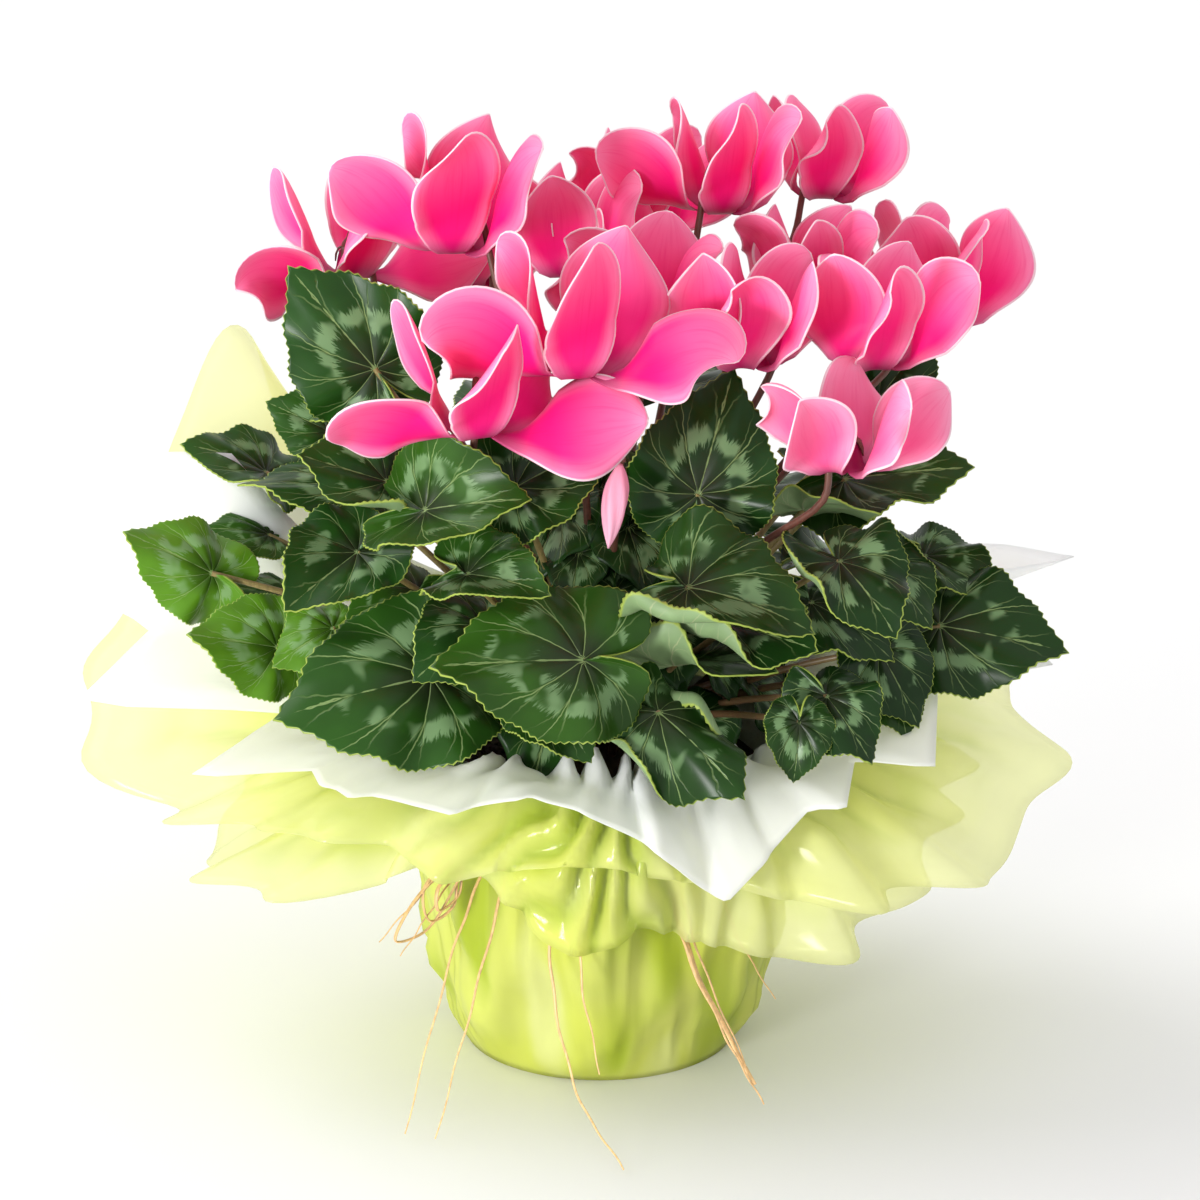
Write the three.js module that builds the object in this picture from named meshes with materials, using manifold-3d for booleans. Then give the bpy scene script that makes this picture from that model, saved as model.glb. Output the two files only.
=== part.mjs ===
// A florist's potted cyclamen in a gift wrap: a plastic pot filled with soil, a tuber that carries toothed,
// heart-shaped leaves and nodding pink flowers, one white and two green sheets gathered round the pot, and a
// raffia tie. Millimetres, +Z up, the origin under the middle of the pot, the front of the plant towards -Y.
import * as THREE from "three";
import { mergeVertices } from "three/addons/utils/BufferGeometryUtils.js";
import Module from "manifold-3d";

const wasm = await Module();
wasm.setup();
const V = (x, y, z) => new THREE.Vector3(x, y, z);
const RAD = Math.PI / 180;

// Driving dimensions: a 14 cm nursery pot with a plant 23 cm high above its rim.
const POT = {
  z: 3.4,
  height: 117.6,
  baseRadius: 48,
  bodyRadius: 65.5,
  rimRadius: 68,
  rimHeight: 10,
  wall: 1.6,
  floor: 2,
  drains: 4,
  drainRadius: 6,
  drainRing: 30,
};
const SOIL = { top: 108, gap: 0.4 };
const TUBER = { z: 103, radius: 28, halfHeight: 15 };
const CROWN = { reach: 25, gap: 0.4, single: 1.9, pair: 2.7, trio: 3.3, member: 1.5 };
const LEAF = { thick: 0.7, stalk: 1.5, sweep: 1.2, tooth: 0.03, inner: 0.55 };
const FLOWER = { thick: 0.8, throat: 6, tube: 9, shoulder: 4, stem: 1.4, calyx: 3.6, hook: 11, opening: 11, sweep: 1.2 };
const SHEET = {
  thick: 0.6,
  pitch: 1,
  baseRadius: 52,
  tieRadius: 67.8,
  tieHeight: 94,
  lipRadius: 73.4,
  lipHeight: 120,
};
const RAFFIA = { bandWidth: 5, bandThick: 1.4, strand: 2, strandThick: 0.9 };

// Leaves, one node for each or for a few that stand together. at is where the stalk joins, tip the point, and
// face the way that the upper side looks. bend is fold, which lifts both halves about the midrib, then curl
// across the blade, droop along it, and the ruffle of the margin.
const LEAVES = {
  leaves_01: [
    { at: [-80, -5, 254], tip: [-108, -12, 290], face: [-0.1, -0.95, 0.3], bend: [0.1, -0.3, -0.3, 0.05] },
    { at: [-76, 14, 240], tip: [-104, 8, 236], face: [-0.2, -0.5, 0.85], bend: [0.1, -0.5, -0.5, 0.05] },
  ],
  leaves_02: [
    { at: [-74, -43, 222], tip: [-102, -58, 235], face: [-0.1, -0.75, 0.65], bend: [0.25, 0.5, -0.2, 0.06] },
    { at: [-60, -60, 216], tip: [-27, -82, 228], face: [0.0, -0.75, 0.65], bend: [0.5, 0.1, -0.1, 0.03] },
  ],
  leaf_03: [
    { at: [-124, 35, 206], tip: [-150, 25, 224], face: [-0.5, -0.4, 0.8], bend: [0.2, -0.4, -0.3, 0.05] },
  ],
  leaves_04: [
    { at: [-88, -18, 214], tip: [-124, -32, 221], face: [-0.1, -0.45, 0.9], bend: [0.05, -0.5, -0.4, 0.05] },
    { at: [-100, 34, 222], tip: [-122, 32, 234], face: [-0.2, -0.8, 0.55], bend: [0.2, -0.3, -0.2, 0.04] },
  ],
  leaf_05: [
    { at: [-138, -25, 184], tip: [-171, -38, 207], face: [-0.2, -0.75, 0.6], bend: [-0.2, -0.7, -0.4, 0.08] },
  ],
  leaves_06: [
    { at: [-122, 20, 186], tip: [-143, 12, 194], face: [-0.2, -0.45, 0.9], bend: [0.1, -0.5, -0.3, 0.05] },
    { at: [-112, 0, 168], tip: [-136, -8, 176], face: [-0.1, -0.4, 0.9], bend: [0.1, -0.6, -0.4, 0.05] },
  ],
  leaves_07: [
    { at: [-113, -50, 164], tip: [-144, -70, 176], face: [-0.3, -0.85, 0.45], bend: [0.1, -0.4, -0.4, 0.07] },
    { at: [-93, -54, 172], tip: [-117, -69, 164], face: [-0.3, -0.75, 0.6], bend: [0.1, -0.6, -0.4, 0.06] },
  ],
  leaves_08: [
    { at: [-84, -52, 199], tip: [-106, -80, 188], face: [-0.1, -0.75, 0.65], bend: [0.35, 0.2, -0.2, 0.04] },
    { at: [-64, -40, 182], tip: [-88, -56, 180], face: [-0.1, -0.6, 0.8], bend: [0.1, -0.4, -0.4, 0.05] },
  ],
  leaf_09: [
    { at: [-58, -75, 161], tip: [-107, -100, 159], face: [0, -0.8, 0.6], bend: [0, -0.35, -0.35, 0.04] },
  ],
  leaf_10: [
    { at: [-29, -55, 223], tip: [3, -60, 242], face: [-0.1, -0.92, 0.35], bend: [0.3, 0.2, -0.2, 0.04] },
  ],
  leaves_11: [
    { at: [-45, -77, 198], tip: [-19, -96, 201], face: [0.0, -0.6, 0.8], bend: [0.4, -0.2, -0.2, 0.05] },
    { at: [-40, -70, 178], tip: [-62, -92, 170], face: [-0.1, -0.8, 0.6], bend: [0.1, -0.4, -0.4, 0.05] },
  ],
  leaves_12: [
    { at: [-6, -88, 171], tip: [-53, -108, 177], face: [-0.05, -0.82, 0.58], bend: [0.1, -0.5, -0.35, 0.06] },
    { at: [-20, -76, 153], tip: [-3, -96, 143], face: [0.1, -0.8, 0.6], bend: [0.1, -0.4, -0.5, 0.06] },
  ],
  leaf_13: [
    { at: [34, -48, 219], tip: [46, -44, 261], face: [0.0, -0.98, 0.2], bend: [0.15, -0.25, -0.15, 0.05] },
  ],
  leaf_14: [
    { at: [30, -76, 193], tip: [69, -101, 194], face: [0.0, -0.62, 0.78], bend: [0.25, -0.3, -0.35, 0.07] },
  ],
  leaf_15: [
    { at: [82, -64, 199], tip: [100, -92, 186], face: [0.15, -0.7, 0.72], bend: [0.3, -0.5, -0.4, 0.08] },
  ],
  leaves_16: [
    { at: [88, -4, 213], tip: [131, -14, 222], face: [0.15, -0.55, 0.82], bend: [0.15, -0.3, -0.2, 0.07] },
    { at: [104, 46, 232], tip: [121, 40, 258], face: [0.2, -0.75, 0.65], bend: [0.1, -0.3, -0.2, 0.05] },
    { at: [72, -24, 207], tip: [98, -36, 215], face: [0.0, 0.45, 0.9], bend: [0.1, -0.4, -0.3, 0.04] },
  ],
  leaves_17: [
    { at: [98, -30, 189], tip: [118, -48, 175], face: [0.3, -0.6, 0.75], bend: [0.1, -0.4, -0.4, 0.06] },
    { at: [74, -42, 178], tip: [104, -58, 168], face: [0.2, -0.5, 0.85], bend: [0.0, -0.8, -0.4, 0.09] },
  ],
  leaves_18: [
    { at: [118, 2, 183], tip: [142, -14, 176], face: [0.3, -0.6, 0.75], bend: [0.25, -0.4, -0.3, 0.08] },
    { at: [122, -20, 163], tip: [164, -36, 160], face: [0.1, -0.8, 0.6], bend: [0.1, -0.3, -0.3, 0.08] },
  ],
  leaves_19: [
    { at: [78, -72, 153], tip: [92, -94, 140], face: [0.1, -0.82, 0.57], bend: [0.0, -0.5, -0.4, 0.09] },
    { at: [68, -82, 147], tip: [67, -92, 129], face: [0.1, -0.95, 0.3], bend: [0.15, -0.5, -0.3, 0.05] },
  ],
  leaves_20: [
    { at: [98, -42, 161], tip: [113, -55, 138], face: [0.35, -0.85, 0.35], bend: [0.1, -0.4, -0.3, 0.06] },
    { at: [102, -40, 150], tip: [109, -56, 135], face: [0.3, -0.9, 0.4], bend: [0.1, -0.4, -0.3, 0.05] },
  ],
  leaf_21: [
    { at: [20, -84, 151], tip: [48, -112, 136], face: [0.1, -0.68, 0.72], bend: [-0.25, -0.9, -0.5, 0.12] },
  ],
  leaves_22: [
    { at: [45, -64, 176], tip: [72, -88, 177], face: [0.0, -0.5, 0.87], bend: [0.2, 0.3, -0.2, 0.06] },
    { at: [26, -58, 160], tip: [60, -76, 171], face: [0.0, 0.35, 0.93], bend: [0.1, 0.6, -0.3, 0.08] },
  ],
};

// The far side of the plant, in bunches: turn from the front, how much further out the bunch reaches, and how
// much higher it stands. A bunch has a leaf in each tier that names it.
const BACK_BUNCHES = [
  [110, 0, 14],
  [129, 2, 4],
  [148, 0, 14],
  [167, 4, 2],
  [186, 0, 12],
  [205, 0, 0],
];
const BACK_TIERS = [
  { ahead: 0, reach: 92, height: 160, length: 42, rise: -4, tilt: 1.1, bunches: [0, 1, 2, 3, 4, 5] },
  { ahead: 10, reach: 80, height: 190, length: 42, rise: 2, tilt: 1.1, bunches: [1, 2, 3, 4, 5] },
  { ahead: 6, reach: 60, height: 222, length: 40, rise: 12, tilt: 1.1, bunches: [2, 5] },
];

// Flowers: the middle of the mouth, the petals' length, the first petal's turn, and how far each of the
// petals leans out from upright, in degrees.
const FLOWERS = {
  flower_01: { at: [-50, -2, 296], petal: 52, first: 262, lean: [12, 16, 16, 14, 40] },
  flower_02: { at: [-91, 34, 281], petal: 47, first: 288, lean: [16, 78, 22, 26, 76] },
  flower_03: { at: [-43, 72, 270], petal: 42, first: 250, lean: [8, 12, 14, 26, 22] },
  flower_04: { at: [-41, -76, 247], petal: 52, first: 277, lean: [26, 78, 50, 20, 72] },
  flower_05: { at: [-7, -66, 265], petal: 54, first: 268, lean: [10, 62, 12, 16, 56] },
  flower_06: { at: [-8, 37, 280], petal: 44, first: 240, lean: [10, 8, 18, 12, 12] },
  flower_07: { at: [12, -10, 266], petal: 48, first: 262, lean: [104, 14, 12, 10, 10] },
  flower_08: { at: [17, 75, 289], petal: 44, first: 255, lean: [14, 26, 20, 20, 12] },
  flower_09: { at: [52, -40, 263], petal: 44, first: 245, lean: [12, 14, 12, 12, 6] },
  flower_10: { at: [44, 28, 305], petal: 46, first: 258, lean: [12, 12, 10, 18, 50] },
  flower_11: { at: [84, 63, 305], petal: 42, first: 245, lean: [12, 22, 18, 20, 8] },
  flower_12: { at: [74, 6, 270], petal: 44, first: 250, lean: [12, 9, 8, 12, 7] },
  flower_13: { at: [95, -37, 262], petal: 46, first: 265, lean: [18, 26, 14, 8, 8] },
  flower_14: { at: [122, 30, 264], petal: 48, first: 285, lean: [14, 34, 20, 12, 8] },
  flower_15: { at: [83, -80, 236], petal: 40, first: 300, lean: [20, 40, 16, 18, 34] },
};
const BUD = { at: [7, -66, 234], length: 30, radius: 4.2, lean: 8, calyx: 2 };
const STEMS_PER_NODE = 3;

// Sheets as rays from the lip of the pot to the free edge, in order round the pot: turn from the front,
// length, rise of the edge, and how much steeper the ray leaves the lip, in degrees. The outermost sheet comes
// first.
const SHEETS = {
  film_outer: [
    [-180, 70, -20, 10], [-165, 78, -22, 10], [-150, 84, -22, 10], [-139, 76, -18, 10], [-128, 70, -14, 8],
    [-118, 68, -18, 8], [-108, 64, -22, 8], [-93, 76, -28, 4], [-82, 84, -34, 0], [-70, 84, -28, -4],
    [-59, 98, -21, -8], [-50, 70, -34, -4], [-40, 30, -58, 12], [-26, 36, -72, 20], [-14, 52, -77, 22],
    [-3, 60, -77, 22], [10, 48, -78, 20], [23, 56, -80, 20], [33, 62, -74, 18], [43, 70, -64, 14],
    [57, 80, -40, 4], [70, 64, -44, 6], [84, 60, -36, 8], [100, 74, -24, 8], [117, 84, -16, 6],
    [128, 76, -20, 8], [140, 70, -24, 8], [150, 68, -24, 8], [160, 66, -24, 8], [170, 68, -22, 10],
  ],
  film_inner: [
    [-180, 70, 4, 8], [-150, 84, 13, 6], [-139, 120, 33, 4], [-128, 180, 49, 2], [-114, 124, 28, 6],
    [-100, 120, 8, 8], [-93, 128, 2, 6], [-82, 113, -13, 4], [-70, 74, -18, 2], [-59, 60, -19, -2],
    [-50, 52, -26, 4], [-26, 40, -44, 14], [-3, 32, -42, 14], [10, 36, -48, 14], [33, 44, -56, 16],
    [43, 60, -44, 10], [57, 84, -26, 4], [67, 96, -24, 4], [84, 84, -12, 8], [100, 109, -2, 6],
    [117, 84, 2, 8], [140, 76, 4, 8], [160, 72, 4, 8],
  ],
  sheet_white: [
    [-180, 62, 16, 4], [-150, 58, 24, 4], [-128, 56, 62, 0], [-114, 96, 50, 4], [-100, 154, 37, 4],
    [-93, 129, 14, 8], [-82, 92, 4, 8], [-66, 44, -8, 4], [-58, 42, -12, 4], [-50, 40, -12, 6],
    [-26, 34, -8, 10], [-14, 30, 4, 8], [-3, 30, -6, 10], [10, 36, -26, 12], [23, 52, -44, 14],
    [33, 44, -30, 14], [43, 36, -10, 10], [57, 52, 4, 8], [84, 70, 18, 4], [108, 104, 24, 4],
    [117, 132, 20, 6], [140, 84, 18, 6], [160, 66, 18, 4],
  ],
};

// Loose raffia ends as the points that each passes, from the tie outwards.
const RAFFIA_ENDS = [
  [[-38.5, -58.5, 92], [-51, -75, 62], [-68, -102, 3]],
  [[-31, -63, 92], [-43, -82, 50], [-57, -106, 3]],
  [[-16, -68.5, 92], [-17, -82, 54], [-8, -92, 14], [8, -128, 2]],
  [[-4, -70, 92], [-7, -81, 58], [0, -90, 20]],
  [[24, -65.5, 92], [31, -75, 60], [54, -94, 18]],
  [[38, -58.8, 92], [47, -67, 66], [61, -84, 46]],
  [[-46, -52.8, 92], [-60, -62, 80], [-78, -71, 62]],
];

const INK = {
  pot: [0x3a3d3a, 0.6],
  soil: [0x33241a, 0.95],
  tuber: [0x5a4030, 0.9],
  leaf: [0x1f5230, 0.5],
  petal: [0xf5447f, 0.5],
  stem: [0x7a4636, 0.6],
  white: [0xf3f4f2, 0.5],
  film: [0xc3e04a, 0.25],
  raffia: [0xe0b184, 0.8],
};

function material(key) {
  const [color, roughness] = INK[key];
  return new THREE.MeshStandardMaterial({ color, roughness, metalness: 0 });
}

// A three.js geometry as a solid.
function solid(geometry) {
  const bare = geometry.index ? geometry.toNonIndexed() : geometry.clone();
  bare.deleteAttribute("normal");
  bare.deleteAttribute("uv");
  const merged = mergeVertices(bare, 1e-4);
  return new wasm.Manifold(
    new wasm.Mesh({
      numProp: 3,
      vertProperties: new Float32Array(merged.attributes.position.array),
      triVerts: new Uint32Array(merged.index.array),
    }),
  );
}

// A solid, which has to hang together as one body, as a named mesh.
function node(name, shape, key) {
  if (shape.decompose().length !== 1) throw new Error(name + " is not one body");
  const kept = shape.getMesh();
  const places = new Float32Array(kept.numVert * 3);
  for (let i = 0; i < kept.numVert; i++) {
    const from = i * kept.numProp;
    places.set(kept.vertProperties.subarray(from, from + 3), i * 3);
  }
  const geometry = new THREE.BufferGeometry();
  geometry.setAttribute("position", new THREE.BufferAttribute(places, 3));
  geometry.setIndex(new THREE.BufferAttribute(new Uint32Array(kept.triVerts), 1));
  geometry.computeVertexNormals();
  const mesh = new THREE.Mesh(geometry, material(key));
  mesh.name = name;
  return mesh;
}

const join = (shapes) => shapes.reduce((all, one) => all.add(one));

// A profile of radius and height, turned about the upright axis.
function turned(profile, segments) {
  const points = profile.map(([r, z]) => new THREE.Vector2(r, z));
  return solid(new THREE.LatheGeometry(points, segments).rotateX(Math.PI / 2));
}

// A closed thin solid on a surface given as points and triangles: both faces are split alike, and a rim of
// quads joins them.
function shell(points, triangles, thick) {
  const normals = points.map(() => V(0, 0, 0));
  const edges = new Map();
  for (const [a, b, c] of triangles) {
    const n = points[b].clone().sub(points[a]).cross(points[c].clone().sub(points[a])).normalize();
    [a, b, c].forEach((i) => normals[i].add(n));
    edges.set(a + "," + b, [a, b]);
    edges.set(b + "," + c, [b, c]);
    edges.set(c + "," + a, [c, a]);
  }
  normals.forEach((n) => n.normalize());
  const top = points.map((p, i) => p.clone().addScaledVector(normals[i], 0.5 * thick));
  const bottom = points.map((p, i) => p.clone().addScaledVector(normals[i], -0.5 * thick));
  const corners = [];
  for (const [a, b, c] of triangles) corners.push(top[a], top[b], top[c], bottom[a], bottom[c], bottom[b]);
  for (const [i, j] of edges.values()) {
    if (edges.has(j + "," + i)) continue;
    corners.push(top[j], top[i], bottom[i], top[j], bottom[i], bottom[j]);
  }
  return solid(new THREE.BufferGeometry().setFromPoints(corners));
}

// A round rod along a curve, as rings of share along the curve and radius. A last radius of zero is a point.
function rod(curve, rings, sides) {
  const last = rings.length - 1;
  const middles = rings.map(([share]) => curve.getPointAt(share));
  let spoke = V(1, 0, 0);
  const frames = rings.map(([share]) => {
    const along = curve.getTangentAt(share);
    spoke = spoke.clone().addScaledVector(along, -spoke.dot(along)).normalize();
    return [spoke, along.clone().cross(spoke)];
  });
  const at = (ring, side) => {
    const turn = (2 * Math.PI * (side % sides)) / sides;
    const radius = rings[ring][1];
    const place = middles[ring].clone().addScaledVector(frames[ring][0], radius * Math.cos(turn));
    return place.addScaledVector(frames[ring][1], radius * Math.sin(turn));
  };
  const corners = [];
  for (let side = 0; side < sides; side++) {
    corners.push(middles[0], at(0, side + 1), at(0, side));
    for (let ring = 0; ring < last; ring++) {
      corners.push(at(ring, side), at(ring, side + 1), at(ring + 1, side + 1));
      if (rings[ring + 1][1] > 0) corners.push(at(ring, side), at(ring + 1, side + 1), at(ring + 1, side));
    }
    if (rings[last][1] > 0) corners.push(middles[last], at(last, side), at(last, side + 1));
  }
  return solid(new THREE.BufferGeometry().setFromPoints(corners));
}

// Places on the crown of the tuber, one for each bunch of stalks: each starts on the side of what it carries,
// further out the lower that is, and neighbours push each other apart until every bunch has room.
function crownPlaces(bunches) {
  const places = bunches.map(({ targets }) => {
    const mean = targets.reduce((sum, p) => sum.add(V(...p)), V(0, 0, 0)).divideScalar(targets.length);
    const out = Math.hypot(mean.x, mean.y);
    const lean = Math.atan2(out, mean.z - TUBER.z) / (Math.PI / 2);
    return V(mean.x, mean.y, 0).multiplyScalar((CROWN.reach * Math.min(1, 1.1 * lean)) / out);
  });
  const room = bunches.map(({ targets }) => [CROWN.single, CROWN.pair, CROWN.trio][targets.length - 1]);
  for (let round = 0; round < 400; round++) {
    for (let i = 0; i < places.length; i++) {
      for (let j = 0; j < i; j++) {
        const apart = places[i].clone().sub(places[j]);
        const short = room[i] + room[j] - apart.length();
        if (short <= 0) continue;
        apart.setLength(short / 2);
        places[i].add(apart);
        places[j].sub(apart);
      }
      places[i].clampLength(0, CROWN.reach);
    }
  }
  return places;
}

// A stalk's line: square off the tuber, then arching out to what it carries.
function stalkCurve(flatFoot, target, sweep) {
  const share = flatFoot.length() / TUBER.radius;
  const rise = Math.sqrt(1 - share * share);
  const normal = flatFoot.clone().divideScalar(TUBER.radius ** 2).setZ(rise / TUBER.halfHeight).normalize();
  const foot = flatFoot.clone().setZ(TUBER.z + TUBER.halfHeight * rise).addScaledVector(normal, CROWN.gap);
  const length = foot.distanceTo(target);
  const outward = V(target.x - foot.x, target.y - foot.y, 0);
  const lean = Math.atan2(outward.length(), target.z - foot.z) * sweep;
  const arrival = outward.normalize().multiplyScalar(Math.sin(lean)).add(V(0, 0, Math.cos(lean)));
  return new THREE.CubicBezierCurve3(
    foot,
    foot.clone().addScaledVector(normal, 0.3 * length),
    target.clone().addScaledVector(arrival, -0.3 * length),
    target,
  );
}

// The feet of a bunch stand side by side, across the way that the bunch leans.
function bunchFeet(place, targets) {
  const across = V(-place.y, place.x, 0).setLength(CROWN.member);
  const turnOf = (p) => (p[0] * across.x + p[1] * across.y) / Math.hypot(p[0], p[1]);
  const order = targets.map((_, i) => i).sort((a, b) => turnOf(targets[a]) - turnOf(targets[b]));
  const middle = (targets.length - 1) / 2;
  return targets.map((_, i) => place.clone().addScaledVector(across, order.indexOf(i) - middle));
}

// The heart-shaped outline round the point where the stalk joins, as a share of the distance to the tip.
function heart(turn) {
  const point = 0.16 * Math.exp(-((turn / 0.35) ** 2));
  const notch = 1 - 0.85 * Math.exp(-(((Math.PI - Math.abs(turn)) / 0.22) ** 2));
  return (0.66 + 0.18 * Math.cos(turn) + point) * notch;
}

// A point of a leaf blade: share runs from 0 at the stalk to 1 at the margin.
function bladePoint(leaf, turn, share) {
  const [fold, curl, droop, wave] = leaf.bend;
  const start = V(...leaf.at);
  const along = V(...leaf.tip).sub(start);
  const length = along.length();
  along.normalize();
  const face = V(...leaf.face);
  const up = face.addScaledVector(along, -face.dot(along)).normalize();
  const across = up.clone().cross(along);
  const reach = share * length * heart(turn);
  const x = reach * Math.cos(turn);
  const y = reach * Math.sin(turn);
  const side = Math.abs(y);
  const soft = 0.06 * length;
  const ruffle = wave * length * Math.sin(5 * turn + leaf.at[0]) * share * share;
  const folded = Math.tan(fold) * (Math.hypot(side, soft) - soft);
  const rise = folded + (curl * side * side) / (2 * length) + ruffle;
  const drawn = y / Math.hypot(1, rise / (side + 1));
  const bend = (droop * x) / length;
  const ray = length / droop;
  return start
    .addScaledVector(along, (ray - rise) * Math.sin(bend))
    .addScaledVector(across, drawn)
    .addScaledVector(up, ray * (1 - Math.cos(bend)) + rise * Math.cos(bend));
}

// The margin's teeth are alternate points in and out.
const MARGIN = [0, 13, 30, 50, 72, 96, 122, 152, 180, -152, -122, -96, -72, -50, -30, -13];

function bladeSolid(leaf) {
  const points = [bladePoint(leaf, 0, 0)];
  const ringTurns = MARGIN.filter((_, i) => i % 2 === 0);
  ringTurns.forEach((turn) => points.push(bladePoint(leaf, turn * RAD, LEAF.inner)));
  MARGIN.forEach((turn, i) => {
    points.push(bladePoint(leaf, turn * RAD, 1 + (i % 2 ? -LEAF.tooth : LEAF.tooth)));
  });
  const ring = (i) => 1 + (i % ringTurns.length);
  const edge = (i) => 1 + ringTurns.length + (i % MARGIN.length);
  const triangles = [];
  for (let i = 0; i < ringTurns.length; i++) {
    triangles.push([0, ring(i), ring(i + 1)]);
    triangles.push([ring(i), edge(2 * i), edge(2 * i + 1)]);
    triangles.push([ring(i), edge(2 * i + 1), ring(i + 1)]);
    triangles.push([ring(i + 1), edge(2 * i + 1), edge(2 * i + 2)]);
  }
  return shell(points, triangles, LEAF.thick);
}

const STALK_RINGS = [0, 0.2, 0.4, 0.6, 0.8, 1].map((share) => [share, share < 1 ? LEAF.stalk : 0]);
const leafSolid = (leaf, foot) => bladeSolid(leaf).add(rod(stalkCurve(foot, V(...leaf.at), LEAF.sweep), STALK_RINGS, 3));

function backLeaves() {
  const rows = BACK_BUNCHES.map(([turn, further, higher], bunch) =>
    BACK_TIERS.filter((tier) => tier.bunches.includes(bunch)).map((tier) => {
      const way = (turn + tier.ahead) * RAD;
      const out = V(Math.sin(way), -Math.cos(way), 0);
      const at = out.clone().multiplyScalar(tier.reach + further).setZ(tier.height + higher);
      const tip = at.clone().addScaledVector(out, 0.9 * tier.length).add(V(0, 0, tier.rise));
      const face = out.clone().multiplyScalar(tier.tilt).setZ(1);
      return { at: at.toArray(), tip: tip.toArray(), face: face.toArray(), bend: [0.15, -0.4, -0.4, 0.06] };
    }),
  );
  return Object.fromEntries(rows.map((leaves, i) => ["leaves_back_" + (1 + i), leaves]));
}

// Petals turn back at the mouth and sweep up, leaning outwards, each twisted the same way so that it clears
// the next.
const PETALS = 5;
const PETAL_STEP = 360 / PETALS;
const PETAL_ROWS = [0, 0.17, 0.48, 0.82, 1];
const petalWidth = (u) => 0.06 * (1 - u) ** 2 + 0.3 * Math.sin(Math.PI * u ** 1.4) ** 0.85;

// The petal after which the stem passes: the gap that looks most towards the plant's axis.
function stemGap(flower) {
  const inward = Math.atan2(-flower.at[1], -flower.at[0]) / RAD;
  return (Math.round((inward - flower.first) / PETAL_STEP - 0.5) + 2 * PETALS) % PETALS;
}

// A petal's turn about the flower's axis. The two beside the stem stand a little further apart.
function petalTurn(flower, index) {
  const after = (index - stemGap(flower) + PETALS) % PETALS;
  const shift = [-FLOWER.opening, FLOWER.opening][after] ?? 0;
  return (flower.first + PETAL_STEP * index + shift) * RAD;
}

// The turn halfway between a petal and the next.
function gapTurn(flower, index) {
  const here = petalTurn(flower, index);
  const ahead = petalTurn(flower, (index + 1) % PETALS) - here;
  return here + 0.5 * (ahead < 0 ? ahead + 2 * Math.PI : ahead);
}

function petalPoint(flower, index, u, v) {
  const turn = petalTurn(flower, index);
  const out = V(Math.cos(turn), Math.sin(turn), 0);
  const flat = V(-Math.sin(turn), Math.cos(turn), 0);
  const lean = flower.lean[index] * RAD;
  const place = V(...flower.at).addScaledVector(out, FLOWER.throat);
  const steps = 20;
  let angle = 0;
  for (let i = 0; i < steps * u; i++) {
    const w = (i + 0.5) / steps;
    angle = lean + (2 - lean) * Math.max(0, 1 - w / 0.22) ** 1.5 + 0.4 * (w - 0.4);
    const heading = V(0, 0, Math.cos(angle)).addScaledVector(out, Math.sin(angle));
    place.addScaledVector(heading, (flower.petal / steps) * Math.min(1, steps * u - i));
  }
  const heading = V(0, 0, Math.cos(angle)).addScaledVector(out, Math.sin(angle));
  const cross = flat.applyAxisAngle(heading, 0.75 * Math.min(1, 2.5 * u));
  const normal = cross.clone().cross(heading);
  const half = petalWidth(u) * flower.petal;
  return place.addScaledVector(cross, half * v).addScaledVector(normal, 0.2 * half * v * v);
}

// The corolla is one skin: a cap, a short tube down to the mouth, and the petals that grow out of its edge.
function corolla(flower) {
  const rings = 2 * PETALS;
  const centre = V(...flower.at);
  const ringTurn = (i) => (i % 2 ? gapTurn(flower, (i - 1) / 2) : petalTurn(flower, i / 2));
  const onRing = (i, radius, height) =>
    centre.clone().add(V(radius * Math.cos(ringTurn(i)), radius * Math.sin(ringTurn(i)), height));
  const points = [centre.clone().add(V(0, 0, FLOWER.tube))];
  for (let i = 0; i < rings; i++) points.push(onRing(i, FLOWER.shoulder, FLOWER.tube - 1));
  for (let i = 0; i < rings; i++) points.push(onRing(i, FLOWER.throat, 0));
  const top = (i) => 1 + (i % rings);
  const mouth = (i) => 1 + rings + ((i + rings) % rings);
  const triangles = [];
  for (let i = 0; i < rings; i++) {
    triangles.push([0, top(i), top(i + 1)]);
    triangles.push([top(i), mouth(i), mouth(i + 1)], [top(i), mouth(i + 1), top(i + 1)]);
  }
  for (let index = 0; index < PETALS; index++) {
    let row = [mouth(2 * index - 1), mouth(2 * index), mouth(2 * index + 1)];
    for (const u of PETAL_ROWS.slice(1, -1)) {
      const next = [-1, 0, 1].map((v) => points.push(petalPoint(flower, index, u, v)) - 1);
      for (const k of [0, 1]) {
        triangles.push([row[k], next[k], next[k + 1]], [row[k], next[k + 1], row[k + 1]]);
      }
      row = next;
    }
    const tip = points.push(petalPoint(flower, index, 1, 0)) - 1;
    triangles.push([row[0], tip, row[1]], [row[1], tip, row[2]]);
  }
  return shell(points, triangles, FLOWER.thick);
}

// The stem rises beside the flower, passes between two petals and hooks over into the calyx.
function stemCurve(flower, flatFoot) {
  const turn = gapTurn(flower, stemGap(flower));
  const out = V(Math.cos(turn), Math.sin(turn), 0);
  const centre = V(...flower.at);
  const beside = (reach, height) => centre.clone().addScaledVector(out, reach).add(V(0, 0, height));
  const rise = stalkCurve(flatFoot, beside(FLOWER.hook + 3, -14), FLOWER.sweep);
  const points = [0, 0.2, 0.4, 0.6, 0.8, 1].map((t) => rise.getPoint(t));
  points.push(beside(FLOWER.hook, -1), beside(FLOWER.hook - 2, 9), beside(5.2, FLOWER.tube + 8));
  points.push(beside(1.2, FLOWER.tube + 7.2), beside(0, FLOWER.tube + 0.9));
  return new THREE.CatmullRomCurve3(points, false, "centripetal");
}

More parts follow.
